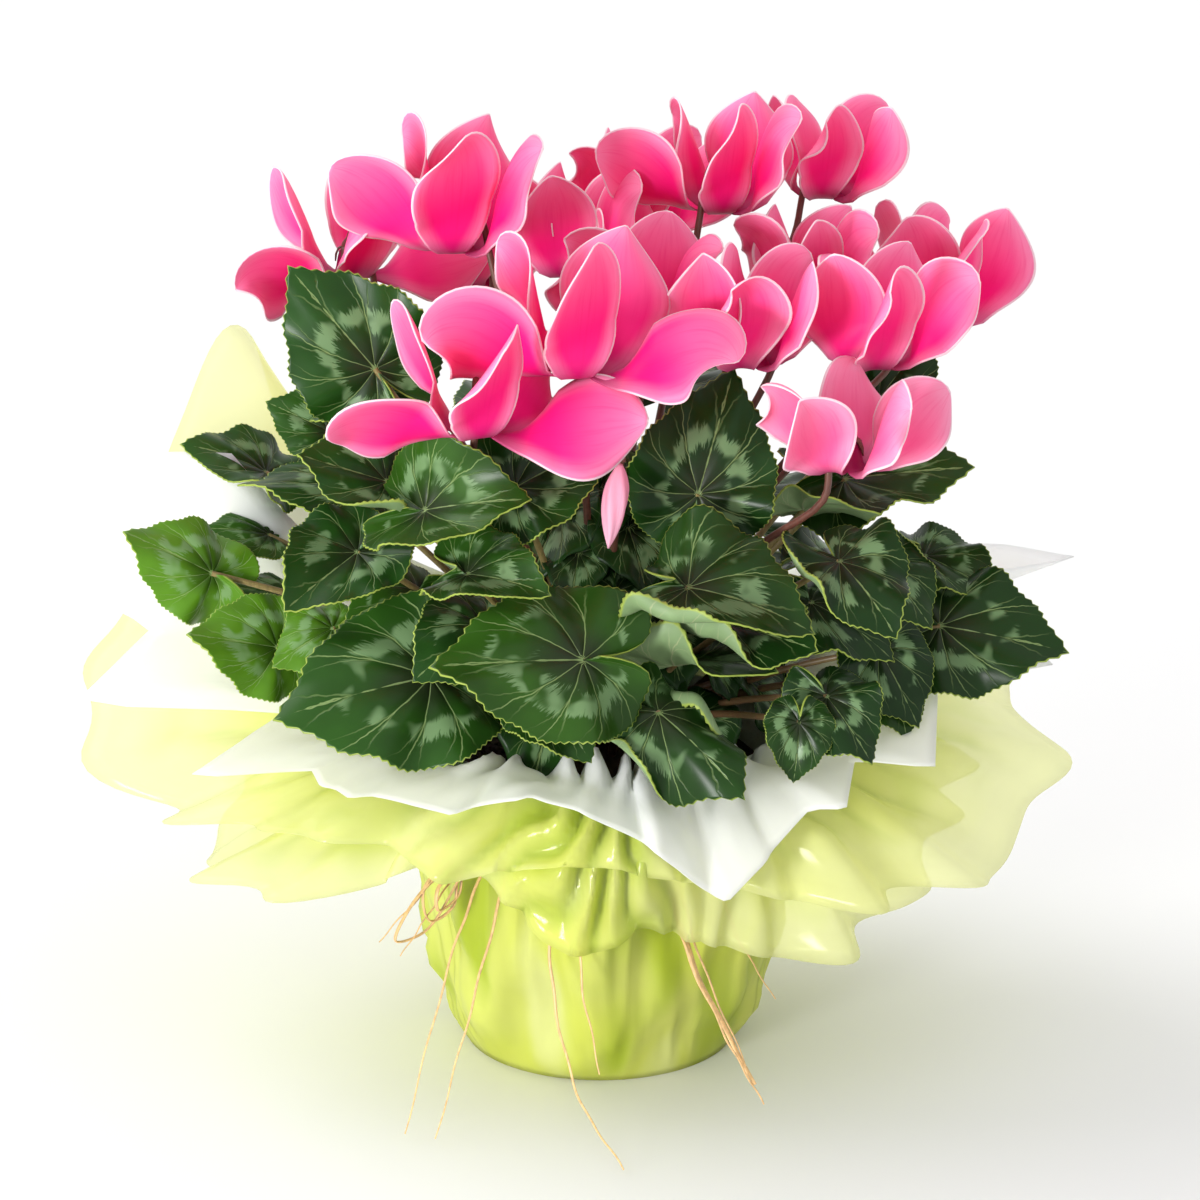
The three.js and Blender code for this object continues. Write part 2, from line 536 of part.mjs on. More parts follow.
// The rings stand closer together in the hook, and the last one is the calyx.
const STEM_SHARES = [0, 0.2, 0.4, 0.58, 0.72, 0.8, 0.86, 0.9, 0.93, 0.955, 0.985];
const stemRings = (calyx) => [...STEM_SHARES.map((share) => [share, FLOWER.stem]), [1, calyx]];

// The bud is a closed spindle that hangs from its own hooked stem.
function budSolid() {
  const girth = (u) => (u > 0 && u < 1 ? BUD.radius * Math.sin(Math.PI * u ** 0.8) ** 0.8 : 0);
  const points = [1, 0.85, 0.6, 0.3, 0].map((u) => new THREE.Vector2(girth(u), -BUD.length * u));
  const shape = new THREE.LatheGeometry(points, 8).rotateX(Math.PI / 2).rotateY(BUD.lean * RAD);
  return solid(shape.translate(...BUD.at));
}

function budStemCurve(flatFoot) {
  const [x, y, z] = BUD.at;
  const rise = stalkCurve(flatFoot, V(x, y + 14, z - 8), FLOWER.sweep);
  const points = [0, 0.25, 0.5, 0.75, 1].map((t) => rise.getPoint(t));
  points.push(V(x, y + 8, z + 5), V(x, y + 2, z + 7), V(x, y, z + 0.9));
  return new THREE.CatmullRomCurve3(points, false, "centripetal");
}

// Values of a sheet's rays at a turn, straight between the rays that are given.
function rayAt(rays, turn) {
  const next = rays.findIndex((ray) => ray[0] > turn);
  const b = next < 0 ? [rays[0][0] + 360, ...rays[0].slice(1)] : rays[next];
  const a = rays[(next < 0 ? rays.length : next) - 1];
  const share = (turn - a[0]) / (b[0] - a[0]);
  const mix = (k) => a[k] + (b[k] - a[k]) * share;
  return [mix(1), mix(2) * RAD, mix(3) * RAD];
}

// A gathered sheet: flat under the pot, up its side, in at the tie, over the rim and out to its free edge.
const ALL_TURNS = Object.values(SHEETS).flatMap((rays) => rays.map((ray) => ray[0]));
const SHEET_TURNS = [...new Set(ALL_TURNS)].sort((a, b) => a - b);

function sheetStations(rays, depth, turn) {
  const [length, rise, bow] = rayAt(rays, turn);
  const pleat = 1.6 * Math.cos(7 * turn * RAD) + 1.1 * Math.cos(11 * turn * RAD + 1);
  const lip = [SHEET.lipRadius - depth, SHEET.lipHeight + 2 * depth];
  return [
    [SHEET.baseRadius - depth, SHEET.thick / 2 + depth],
    [SHEET.baseRadius + 9.5 + pleat - depth, 44],
    [SHEET.tieRadius - depth, SHEET.tieHeight],
    lip,
    [lip[0] + 0.5 * length * Math.cos(rise + bow), lip[1] + 0.5 * length * Math.sin(rise + bow)],
    [lip[0] + length * Math.cos(rise), lip[1] + length * Math.sin(rise)],
  ];
}

function sheetSolid(rays, layer) {
  const depth = layer * SHEET.pitch;
  const columns = SHEET_TURNS.length;
  const points = [V(0, 0, SHEET.thick / 2 + depth)];
  const stations = SHEET_TURNS.map((turn) => sheetStations(rays, depth, turn));
  const rows = stations[0].length;
  for (let row = 0; row < rows; row++) {
    SHEET_TURNS.forEach((turn, i) => {
      const [r, z] = stations[i][row];
      points.push(V(r * Math.sin(turn * RAD), -r * Math.cos(turn * RAD), z));
    });
  }
  const at = (row, i) => 1 + row * columns + (i % columns);
  const triangles = [];
  for (let i = 0; i < columns; i++) {
    triangles.push([0, at(0, i), at(0, i + 1)]);
    for (let row = 0; row + 1 < rows; row++) {
      triangles.push([at(row, i), at(row + 1, i), at(row + 1, i + 1)]);
      triangles.push([at(row, i), at(row + 1, i + 1), at(row, i + 1)]);
    }
  }
  return shell(points, triangles, SHEET.thick);
}

function potSolid() {
  const top = POT.z + POT.height;
  const collar = top - POT.rimHeight;
  const outside = [
    [0, POT.z],
    [POT.baseRadius, POT.z],
    [POT.bodyRadius, collar],
    [POT.rimRadius, collar],
    [POT.rimRadius, top],
  ];
  const inside = [
    [POT.rimRadius - POT.wall, top],
    [POT.rimRadius - POT.wall, collar + POT.wall],
    [POT.bodyRadius - POT.wall, collar],
    [POT.baseRadius - POT.wall, POT.z + POT.floor],
    [0, POT.z + POT.floor],
  ];
  const body = turned([...outside, ...inside], 24);
  const drains = Array.from({ length: POT.drains }, (_, i) => {
    const turn = (2 * Math.PI * i) / POT.drains;
    const hole = new THREE.CylinderGeometry(POT.drainRadius, POT.drainRadius, 4 * POT.floor, 6);
    const [x, y] = [POT.drainRing * Math.cos(turn), POT.drainRing * Math.sin(turn)];
    return solid(hole.rotateX(Math.PI / 2).translate(x, y, POT.z + POT.floor / 2));
  });
  return body.subtract(join(drains));
}

function tuberSolid(grow) {
  const ball = new THREE.SphereGeometry(1, 14, 8).rotateX(Math.PI / 2);
  ball.scale(TUBER.radius + grow, TUBER.radius + grow, TUBER.halfHeight + grow);
  return solid(ball.translate(0, 0, TUBER.z));
}

function soilSolid() {
  const low = POT.z + POT.floor + SOIL.gap;
  const slope = (POT.bodyRadius - POT.baseRadius) / (POT.height - POT.rimHeight);
  const inside = (z) => POT.baseRadius - POT.wall - 2 * SOIL.gap + slope * (z - POT.z);
  const edge = SOIL.top - 6;
  const profile = [
    [0, low],
    [inside(low), low],
    [inside(edge), edge],
    [inside(edge) - 8, SOIL.top - 1.5],
    [36, SOIL.top],
    [0, SOIL.top],
  ];
  return turned(profile, 20).subtract(tuberSolid(SOIL.gap));
}

function raffiaSolid() {
  const inner = SHEET.tieRadius + 1.6;
  const outer = inner + RAFFIA.bandThick;
  const low = SHEET.tieHeight - RAFFIA.bandWidth / 2;
  const high = low + RAFFIA.bandWidth;
  const band = turned([[inner, low], [outer, low], [outer, high], [inner, high], [inner, low]], 24);
  const corners = [[-1, -1], [1, -1], [1, 1], [-1, 1]];
  const flat = new THREE.Shape(
    corners.map(([x, y]) => new THREE.Vector2((x * RAFFIA.strand) / 2, (y * RAFFIA.strandThick) / 2)),
  );
  const ends = RAFFIA_ENDS.map((points) => {
    const path = new THREE.CatmullRomCurve3(points.map((p) => V(...p)));
    return solid(new THREE.ExtrudeGeometry(flat, { steps: 4, extrudePath: path, curveSegments: 1 }));
  });
  return join([band, ...ends]);
}

const plant = new THREE.Group();
plant.add(node("pot", potSolid(), "pot"));
plant.add(node("soil", soilSolid(), "soil"));
plant.add(node("tuber", tuberSolid(0), "tuber"));
Object.entries(SHEETS).forEach(([name, rays], layer) => {
  plant.add(node(name, sheetSolid(rays, layer), name === "sheet_white" ? "white" : "film"));
});
plant.add(node("raffia_tie", raffiaSolid(), "raffia"));

// Everything that grows from the crown, bunch by bunch. The bud's stem stands by itself.
const flowers = Object.entries(FLOWERS);
const azimuth = ([, flower]) => Math.atan2(flower.at[1], flower.at[0]);
const round = [...flowers].sort((a, b) => azimuth(a) - azimuth(b));
const bunches = [];
for (let i = 0; i < round.length; i += STEMS_PER_NODE) {
  const held = round.slice(i, i + STEMS_PER_NODE).map(([, flower]) => flower);
  const rods = (feet) => held.map((flower, k) => rod(stemCurve(flower, feet[k]), stemRings(FLOWER.calyx), 3));
  const name = "stems_" + (1 + i / STEMS_PER_NODE);
  bunches.push({ name, ink: "stem", targets: held.map(({ at }) => at), rods });
}
bunches.push({
  name: "stem_bud",
  ink: "stem",
  targets: [BUD.at],
  rods: (feet) => [rod(budStemCurve(feet[0]), stemRings(BUD.calyx), 3)],
});
for (const [name, leaves] of Object.entries({ ...LEAVES, ...backLeaves() })) {
  const rods = (feet) => leaves.map((leaf, k) => leafSolid(leaf, feet[k]));
  bunches.push({ name, ink: "leaf", targets: leaves.map(({ at }) => at), rods });
}
const places = crownPlaces(bunches);
bunches.forEach(({ name, ink, targets, rods }, i) => {
  plant.add(node(name, join(rods(bunchFeet(places[i], targets))), ink));
});
for (const [name, flower] of flowers) plant.add(node(name, corolla(flower), "petal"));
plant.add(node("bud", budSolid(), "petal"));

export default plant;
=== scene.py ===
"""Looks of a florist's potted cyclamen, built round its CAD frame.

Lengths in the tables are millimetres, with Z up, the origin under the middle of the pot and the front of the
plant towards -Y. Meshes are made in metres.
"""

import math

import bpy
import numpy as np
from bpy.props import FloatProperty, FloatVectorProperty, IntProperty, PointerProperty
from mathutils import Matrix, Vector


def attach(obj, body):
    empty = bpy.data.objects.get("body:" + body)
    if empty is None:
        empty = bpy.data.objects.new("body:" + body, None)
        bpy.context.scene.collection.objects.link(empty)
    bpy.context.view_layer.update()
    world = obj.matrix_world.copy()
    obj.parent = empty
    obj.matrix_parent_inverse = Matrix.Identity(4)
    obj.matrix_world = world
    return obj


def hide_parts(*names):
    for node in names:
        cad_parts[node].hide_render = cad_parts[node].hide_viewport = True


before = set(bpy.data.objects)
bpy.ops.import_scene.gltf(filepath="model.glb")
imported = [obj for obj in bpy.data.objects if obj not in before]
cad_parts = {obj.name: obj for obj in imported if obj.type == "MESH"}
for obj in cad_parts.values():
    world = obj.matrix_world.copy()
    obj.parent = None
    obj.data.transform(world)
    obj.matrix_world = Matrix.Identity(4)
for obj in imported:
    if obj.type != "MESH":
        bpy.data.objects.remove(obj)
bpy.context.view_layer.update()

bl_info = {
    "name": "Potted cyclamen",
    "version": (1, 0, 0),
    "blender": (4, 5, 0),
    "location": "3D View > Sidebar > Cyclamen",
    "description": "Builds a potted cyclamen in a gift wrap with a raffia tie",
    "category": "Add Mesh",
}

MM = 0.001
FULL_TURN = 2 * math.pi

POT = {
    "z": 3.4,
    "height": 117.6,
    "base": 48,
    "body": 65.5,
    "rim": 68,
    "rim_height": 10,
    "wall": 1.6,
    "floor": 2,
}
SOIL = {"top": 108, "gap": 0.4}
TUBER = {"z": 103, "radius": 28, "half_height": 15}
CROWN = {"reach": 25, "room": (1.9, 2.7, 3.3), "member": 1.5}
LEAF = {"thick": 0.6, "stalk": 1.35, "sweep": 1.2}
FLOWER = {"thick": 0.5, "throat": 6, "tube": 9, "stem": 1.25, "calyx": 3.4, "hook": 11, "opening": 11}
SHEET = {
    "thick": 0.4,
    "pitch": 1,
    "foot": 50.5,
    "tie": 67.8,
    "tie_height": 94,
    "lip": 73.4,
    "lip_height": 120,
}

# Leaves by the name of the solid that each group stands for: where the stalk joins, the tip, the way that
# the upper side looks, and the bend as fold, curl, droop and ruffle.
LEAVES = {
    "leaves_01": [
        ((-80, -5, 254), (-108, -12, 290), (-0.1, -0.95, 0.3), (0.1, -0.3, -0.3, 0.05)),
        ((-76, 14, 240), (-104, 8, 236), (-0.2, -0.5, 0.85), (0.1, -0.5, -0.5, 0.05)),
    ],
    "leaves_02": [
        ((-74, -43, 222), (-102, -58, 235), (-0.1, -0.75, 0.65), (0.25, 0.5, -0.2, 0.06)),
        ((-60, -60, 216), (-27, -82, 228), (0, -0.75, 0.65), (0.5, 0.1, -0.1, 0.03)),
    ],
    "leaf_03": [((-124, 35, 206), (-150, 25, 224), (-0.5, -0.4, 0.8), (0.2, -0.4, -0.3, 0.05))],
    "leaves_04": [
        ((-88, -18, 214), (-124, -32, 221), (-0.1, -0.45, 0.9), (0.05, -0.5, -0.4, 0.05)),
        ((-100, 34, 222), (-122, 32, 234), (-0.2, -0.8, 0.55), (0.2, -0.3, -0.2, 0.04)),
    ],
    "leaf_05": [((-138, -25, 184), (-171, -38, 207), (-0.2, -0.75, 0.6), (-0.2, -0.7, -0.4, 0.08))],
    "leaves_06": [
        ((-122, 20, 186), (-143, 12, 194), (-0.2, -0.45, 0.9), (0.1, -0.5, -0.3, 0.05)),
        ((-112, 0, 168), (-136, -8, 176), (-0.1, -0.4, 0.9), (0.1, -0.6, -0.4, 0.05)),
    ],
    "leaves_07": [
        ((-113, -50, 164), (-144, -70, 176), (-0.3, -0.85, 0.45), (0.1, -0.4, -0.4, 0.07)),
        ((-93, -54, 172), (-117, -69, 164), (-0.3, -0.75, 0.6), (0.1, -0.6, -0.4, 0.06)),
    ],
    "leaves_08": [
        ((-84, -52, 199), (-106, -80, 188), (-0.1, -0.75, 0.65), (0.35, 0.2, -0.2, 0.04)),
        ((-64, -40, 182), (-88, -56, 180), (-0.1, -0.6, 0.8), (0.1, -0.4, -0.4, 0.05)),
    ],
    "leaf_09": [((-58, -75, 161), (-107, -100, 159), (0, -0.8, 0.6), (0, -0.35, -0.35, 0.04))],
    "leaf_10": [((-29, -55, 223), (3, -60, 242), (-0.1, -0.92, 0.35), (0.3, 0.2, -0.2, 0.04))],
    "leaves_11": [
        ((-45, -77, 198), (-19, -96, 201), (0, -0.6, 0.8), (0.4, -0.2, -0.2, 0.05)),
        ((-40, -70, 178), (-62, -92, 170), (-0.1, -0.8, 0.6), (0.1, -0.4, -0.4, 0.05)),
    ],
    "leaves_12": [
        ((-6, -88, 171), (-53, -108, 177), (-0.05, -0.82, 0.58), (0.1, -0.5, -0.35, 0.06)),
        ((-20, -76, 153), (-3, -96, 143), (0.1, -0.8, 0.6), (0.1, -0.4, -0.5, 0.06)),
    ],
    "leaf_13": [((34, -48, 219), (46, -44, 261), (0, -0.98, 0.2), (0.15, -0.25, -0.15, 0.05))],
    "leaf_14": [((30, -76, 193), (69, -101, 194), (0, -0.62, 0.78), (0.25, -0.3, -0.35, 0.07))],
    "leaf_15": [((82, -64, 199), (100, -92, 186), (0.15, -0.7, 0.72), (0.3, -0.5, -0.4, 0.08))],
    "leaves_16": [
        ((88, -4, 213), (131, -14, 222), (0.15, -0.55, 0.82), (0.15, -0.3, -0.2, 0.07)),
        ((104, 46, 232), (121, 40, 258), (0.2, -0.75, 0.65), (0.1, -0.3, -0.2, 0.05)),
        ((72, -24, 207), (98, -36, 215), (0, 0.45, 0.9), (0.1, -0.4, -0.3, 0.04)),
    ],
    "leaves_17": [
        ((98, -30, 189), (118, -48, 175), (0.3, -0.6, 0.75), (0.1, -0.4, -0.4, 0.06)),
        ((74, -42, 178), (104, -58, 168), (0.2, -0.5, 0.85), (0, -0.8, -0.4, 0.09)),
    ],
    "leaves_18": [
        ((118, 2, 183), (142, -14, 176), (0.3, -0.6, 0.75), (0.25, -0.4, -0.3, 0.08)),
        ((122, -20, 163), (164, -36, 160), (0.1, -0.8, 0.6), (0.1, -0.3, -0.3, 0.08)),
    ],
    "leaves_19": [
        ((78, -72, 153), (92, -94, 140), (0.1, -0.82, 0.57), (0, -0.5, -0.4, 0.09)),
        ((68, -82, 147), (67, -92, 129), (0.1, -0.95, 0.3), (0.15, -0.5, -0.3, 0.05)),
    ],
    "leaves_20": [
        ((98, -42, 161), (113, -55, 138), (0.35, -0.85, 0.35), (0.1, -0.4, -0.3, 0.06)),
        ((102, -40, 150), (109, -56, 135), (0.3, -0.9, 0.4), (0.1, -0.4, -0.3, 0.05)),
    ],
    "leaf_21": [((20, -84, 151), (48, -112, 136), (0.1, -0.68, 0.72), (-0.25, -0.9, -0.5, 0.12))],
    "leaves_22": [
        ((45, -64, 176), (72, -88, 177), (0, -0.5, 0.87), (0.2, 0.3, -0.2, 0.06)),
        ((26, -58, 160), (60, -76, 171), (0, 0.35, 0.93), (0.1, 0.6, -0.3, 0.08)),
    ],
}

# The far side of the plant, in bunches: turn from the front, how much further out and how much higher.
BACK_BUNCHES = [(110, 0, 14), (129, 2, 4), (148, 0, 14), (167, 4, 2), (186, 0, 12), (205, 0, 0)]
# Its tiers: turn ahead of the bunch, reach, height, leaf length, rise of the tip, and the bunches that have
# a leaf in the tier.
BACK_TIERS = [
    (0, 92, 160, 42, -4, (0, 1, 2, 3, 4, 5)),
    (10, 80, 190, 42, 2, (1, 2, 3, 4, 5)),
    (6, 60, 222, 40, 12, (2, 5)),
]
BACK_TILT = 1.1
BACK_BEND = (0.15, -0.4, -0.4, 0.06)

# Flowers: the middle of the mouth, the petals' length, the first petal's turn and each petal's lean, in
# degrees.
FLOWERS = {
    "flower_01": ((-50, -2, 296), 52, 262, (12, 16, 16, 14, 40)),
    "flower_02": ((-91, 34, 281), 47, 288, (16, 78, 22, 26, 76)),
    "flower_03": ((-43, 72, 270), 42, 250, (8, 12, 14, 26, 22)),
    "flower_04": ((-41, -76, 247), 52, 277, (26, 78, 50, 20, 72)),
    "flower_05": ((-7, -66, 265), 54, 268, (10, 62, 12, 16, 56)),
    "flower_06": ((-8, 37, 280), 44, 240, (10, 8, 18, 12, 12)),
    "flower_07": ((12, -10, 266), 48, 262, (104, 14, 12, 10, 10)),
    "flower_08": ((17, 75, 289), 44, 255, (14, 26, 20, 20, 12)),
    "flower_09": ((52, -40, 263), 44, 245, (12, 14, 12, 12, 6)),
    "flower_10": ((44, 28, 305), 46, 258, (12, 12, 10, 18, 50)),
    "flower_11": ((84, 63, 305), 42, 245, (12, 22, 18, 20, 8)),
    "flower_12": ((74, 6, 270), 44, 250, (12, 9, 8, 12, 7)),
    "flower_13": ((95, -37, 262), 46, 265, (18, 26, 14, 8, 8)),
    "flower_14": ((122, 30, 264), 48, 285, (14, 16, 20, 12, 8)),
    "flower_15": ((83, -80, 236), 40, 300, (20, 40, 16, 18, 34)),
}
BUD = {"at": (7, -66, 234), "length": 30, "radius": 4.2, "lean": 8, "calyx": 2}
STEMS_PER_GROUP = 3
PETALS = 5

# Sheets as rays from the lip of the pot to the free edge: turn from the front, length, rise of the edge, and
# how much steeper the ray leaves the lip, in degrees. The outermost sheet comes first.
SHEETS = {
    "film_outer": [
        (-180, 70, -20, 10), (-165, 78, -22, 10), (-150, 84, -22, 10), (-139, 76, -18, 10),
        (-128, 70, -14, 8), (-118, 68, -18, 8), (-108, 64, -22, 8), (-93, 76, -28, 4), (-82, 84, -34, 0),
        (-70, 84, -28, -4),
        (-59, 98, -21, -8), (-50, 70, -34, -4), (-40, 30, -58, 12), (-26, 36, -72, 20), (-14, 52, -77, 22),
        (-3, 60, -77, 22), (10, 48, -78, 20), (23, 56, -80, 20), (33, 62, -74, 18), (43, 70, -64, 14),
        (57, 80, -40, 4), (70, 64, -44, 6), (84, 60, -36, 8), (100, 74, -24, 8), (117, 84, -16, 6),
        (128, 76, -20, 8), (140, 70, -24, 8), (150, 68, -24, 8), (160, 66, -24, 8), (170, 68, -22, 10),
    ],
    "film_inner": [
        (-180, 70, 4, 8), (-150, 84, 13, 6), (-139, 120, 33, 4), (-128, 180, 49, 2), (-114, 124, 28, 6),
        (-100, 120, 8, 8), (-93, 128, 2, 6), (-82, 113, -13, 4), (-70, 74, -18, 2), (-59, 60, -19, -2),
        (-50, 52, -26, 4), (-26, 40, -44, 14), (-3, 32, -42, 14), (10, 36, -48, 14), (33, 44, -56, 16),
        (43, 60, -44, 10), (57, 84, -26, 4), (67, 96, -24, 4), (84, 84, -12, 8), (100, 109, -2, 6),
        (117, 84, 2, 8), (140, 76, 4, 8), (160, 72, 4, 8),
    ],
    "sheet_white": [
        (-180, 62, 16, 4), (-150, 58, 24, 4), (-128, 56, 62, 0), (-114, 96, 50, 4), (-100, 154, 37, 4),
        (-93, 129, 14, 8), (-82, 92, 4, 8), (-66, 44, -8, 4), (-58, 42, -12, 4), (-50, 40, -12, 6),
        (-26, 34, -8, 10), (-14, 30, 4, 8), (-3, 30, -6, 10), (10, 36, -26, 12), (23, 52, -44, 14),
        (33, 44, -30, 14), (43, 36, -10, 10), (57, 52, 4, 8), (84, 70, 18, 4), (108, 104, 24, 4),
        (117, 132, 20, 6), (140, 84, 18, 6), (160, 66, 18, 4),
    ],
}

# Loose raffia ends as the points that each passes, from the tie outwards, and which of them is stout.
STOUT_END = 4
RAFFIA_ENDS = [
    [(-38.5, -58.5, 92), (-51, -75, 62), (-68, -102, 3)],
    [(-31, -63, 92), (-43, -82, 50), (-57, -106, 3)],
    [(-16, -68.5, 92), (-17, -82, 54), (-8, -92, 14), (8, -128, 2)],
    [(-4, -70, 92), (-7, -81, 58), (0, -90, 20)],
    [(24, -65.5, 92), (31, -75, 60), (54, -94, 18)],
    [(38, -58.8, 92), (47, -67, 66), (61, -84, 46)],
    [(-46, -52.8, 92), (-60, -62, 80), (-78, -71, 62)],
]
# Finer fibres beside the ends, and the knot with its loops.
RAFFIA_FIBRES = [
    [(26, -66, 92), (34, -77, 62), (51, -92, 24)],
    [(22, -66, 91), (29, -78, 66), (44, -90, 34), (57, -97, 12)],
    [(-45, -54, 90), (-58, -64, 74), (-70, -74, 58)],
]
RAFFIA_LOOPS = [
    [
        (-42, -57, 94), (-52, -62, 90), (-62, -66, 80), (-60, -66, 68), (-52, -62, 72), (-50, -60, 84),
        (-44, -58, 93),
    ],
    [
        (-44, -57, 92), (-56, -64, 86), (-68, -68, 72), (-72, -70, 62), (-62, -66, 64), (-52, -62, 78),
        (-46, -58, 90),
    ],
    [(-49, -58, 86), (-57, -65, 80), (-57, -66, 72), (-50, -61, 76), (-49, -58, 86)],
]
# How far the two edges of some leaves roll up over the blade, one pair for each leaf of a node.
ROLLED = {
    "leaf_14": [(0, 0.7)],
    "leaf_15": [(0, 0.5)],
    "leaves_17": [(0.2, 0.9), (0, 0.3)],
    "leaf_21": [(1.0, 0.55)],
    "leaves_22": [(0, 0.8), (0.8, 0.3)],
    "leaves_12": [(0, 0), (0.5, 0)],
    "leaves_02": [(0.5, 0), (0, 0)],
}
# Young leaves that are smaller than their solids.
YOUNG = {"leaf_05": 0.8, "leaves_07": 0.84}
# Small leaves that fill the inside of the plant.
INNER = {"count": 54, "turn": 137.5, "near": 14, "far": 60, "high": 214, "low": 132, "length": 42}

# Veins as drawn: how far they wander, the widths over which a vein and its forks fade, where they fork and
# how fast the branches part.
VEIN = {"wobble": 0.16, "width": (0.006, 0.017), "fork_width": (0.006, 0.018), "fork": 0.48, "spread": 0.62}
# Pleats: how fast they change up the sheet, how far they drift and differ, and the scales of the creases.
PLEAT = {
    "rise": 0.16,
    "drift": 12.0,
    "uneven": 3.4,
    "usual": 0.95,
    "broad": 2.2,
    "long_crease": 2.6,
    "short_crease": 15.0,
    "ridge_level": 0.17,
    "facets": 36.0,
}
# Colours that no setting holds.
LIGHT_GREEN = (0.068, 0.17, 0.010)
# Next: the leaf's own dark heart, made darker still as painted shade.
LEAF_HEART_SHADE = (0.017, 0.024, 0.010)
LEAF_GLOW = (0.10, 0.28, 0.02)
UNDER_VEIN = (0.40, 0.42, 0.24)
PALE_PINK = (0.96, 0.27, 0.46)
# Two tones of a material: the darker or lower one, then the lighter or upper one. The first tone of the film
# and the paper is painted shade for their folds, the second painted light for their free lobes.
SOIL_TONES = [(0.012, 0.007, 0.004), (0.05, 0.028, 0.016)]
BARK_TONES = [(0.035, 0.018, 0.010), (0.12, 0.07, 0.04)]
STALK_TONES = [(0.10, 0.035, 0.02), (0.26, 0.20, 0.07)]
FILM_SHADE_AND_LIGHT = [(0.56, 0.68, 0.006), (0.93, 0.94, 0.58)]
PAPER_SHADE_AND_LIGHT = [(0.86, 0.88, 0.87), (0.95, 0.955, 0.96)]
STEM_FOOT = (0.16, 0.09, 0.04)
# Raffia: points of a ring, its room round the neck, and girths as shares of half a strand's width.
RAFFIA = {"points": 120, "room": 1.9, "ring": 0.8, "loop": 0.75, "stout_end": 1.4, "end": 0.55, "flat": 0.4}
# The lights, and the heights in metres that the lights and the camera look at.
SUN = {"energy": 1.3, "angle": 45, "at": (-0.9, 0.35, 1.2)}
SOFTBOX = {"energy": 18, "size": 0.35, "at": (-0.9, -1.15, 0.18)}
LIT_HEIGHT = 0.17
SEEN_HEIGHT = 0.167


# Settings that the sidebar shows.


class LeafSettings(bpy.types.PropertyGroup):
    columns: IntProperty(name="Columns", description="Points round a blade's margin", default=144, min=24)
    tooth: FloatProperty(name="Tooth", description="Depth of a tooth, as a share of a blade", default=0.014)
    quilt: FloatProperty(name="Quilting", description="Swelling between veins, in millimetres", default=0.8)
    green: FloatVectorProperty(
        name="Green", description="Green of the upper side", subtype="COLOR", default=(0.010, 0.042, 0.006)
    )
    silver: FloatVectorProperty(
        name="Silver", description="Pale marbling", subtype="COLOR", default=(0.20, 0.33, 0.15)
    )
    vein: FloatVectorProperty(
        name="Veins", description="Veins of the upper side", subtype="COLOR", default=(0.27, 0.38, 0.14)
    )
    margin: FloatVectorProperty(
        name="Margin", description="Line round the blade", subtype="COLOR", default=(0.31, 0.40, 0.07)
    )
    waves: FloatProperty(name="Waves", description="Height of waves, as a share of a blade", default=0.085)
    under: FloatVectorProperty(
        name="Underside", description="Pale lower side", subtype="COLOR", default=(0.24, 0.36, 0.16)
    )


class FlowerSettings(bpy.types.PropertyGroup):
    rows: IntProperty(name="Rows", description="Steps along a petal", default=26, min=6)
    columns: IntProperty(name="Columns", description="Steps across a petal", default=14, min=4)
    pink: FloatVectorProperty(
        name="Pink", description="Pink of the petals", subtype="COLOR", default=(0.99, 0.012, 0.27)
    )
    base: FloatVectorProperty(
        name="Throat", description="Deep colour at the throat", subtype="COLOR", default=(0.36, 0.001, 0.085)
    )
    margin: FloatVectorProperty(
        name="Margin", description="Pale line round a petal", subtype="COLOR", default=(1.0, 0.82, 0.88)
    )
    stem: FloatVectorProperty(
        name="Stem", description="Red-brown of the stems", subtype="COLOR", default=(0.13, 0.045, 0.03)
    )


class WrapSettings(bpy.types.PropertyGroup):
    columns: IntProperty(name="Columns", description="Points round a sheet", default=360, min=60)
    pleats: IntProperty(name="Pleats", description="Pleats gathered by the tie", default=31, min=3)
    depth: FloatProperty(
        name="Pleat depth", description="Height of a pleat at the free edge", default=0.0095, unit="LENGTH"
    )
    crumple: FloatProperty(
        name="Crumple", description="Height of the small creases", default=0.013, unit="LENGTH"
    )
    film: FloatVectorProperty(
        name="Film", description="Colour of the green film", subtype="COLOR", default=(0.82, 0.86, 0.19)
    )
    white: FloatVectorProperty(
        name="White", description="Colour of the white sheet", subtype="COLOR", default=(0.93, 0.94, 0.93)
    )


class RaffiaSettings(bpy.types.PropertyGroup):
    strands: IntProperty(name="Strands", description="Strands that go round the neck", default=5, min=1)
    width: FloatProperty(name="Width", description="Width of a strand", default=0.0026, unit="LENGTH")
    straw: FloatVectorProperty(
        name="Straw", description="Colour of the raffia", subtype="COLOR", default=(0.80, 0.50, 0.22)
    )


class PotSettings(bpy.types.PropertyGroup):
    crumbs: FloatProperty(name="Crumbs", description="Soil crumbs in a square metre", default=90000, min=0)
    crumb: FloatProperty(name="Crumb", description="Size of a soil crumb", default=0.0016, unit="LENGTH")
    plastic: FloatVectorProperty(
        name="Pot", description="Colour of the nursery pot", subtype="COLOR", default=(0.55, 0.58, 0.50)
    )


class StageSettings(bpy.types.PropertyGroup):
    floor: FloatVectorProperty(
        name="Floor", description="Colour of the floor", subtype="COLOR", default=(0.77, 0.77, 0.77)
    )
    lens: FloatProperty(name="Lens", description="Focal length of the camera, in millimetres", default=98.9)
    distance: FloatProperty(
        name="Distance", description="Camera distance from the plant", default=1.2, unit="LENGTH"
    )
    elevation: FloatProperty(
        name="Elevation", description="Camera angle from level", default=math.radians(16), subtype="ANGLE"
    )


# Mesh helpers. Points are rows of millimetres.


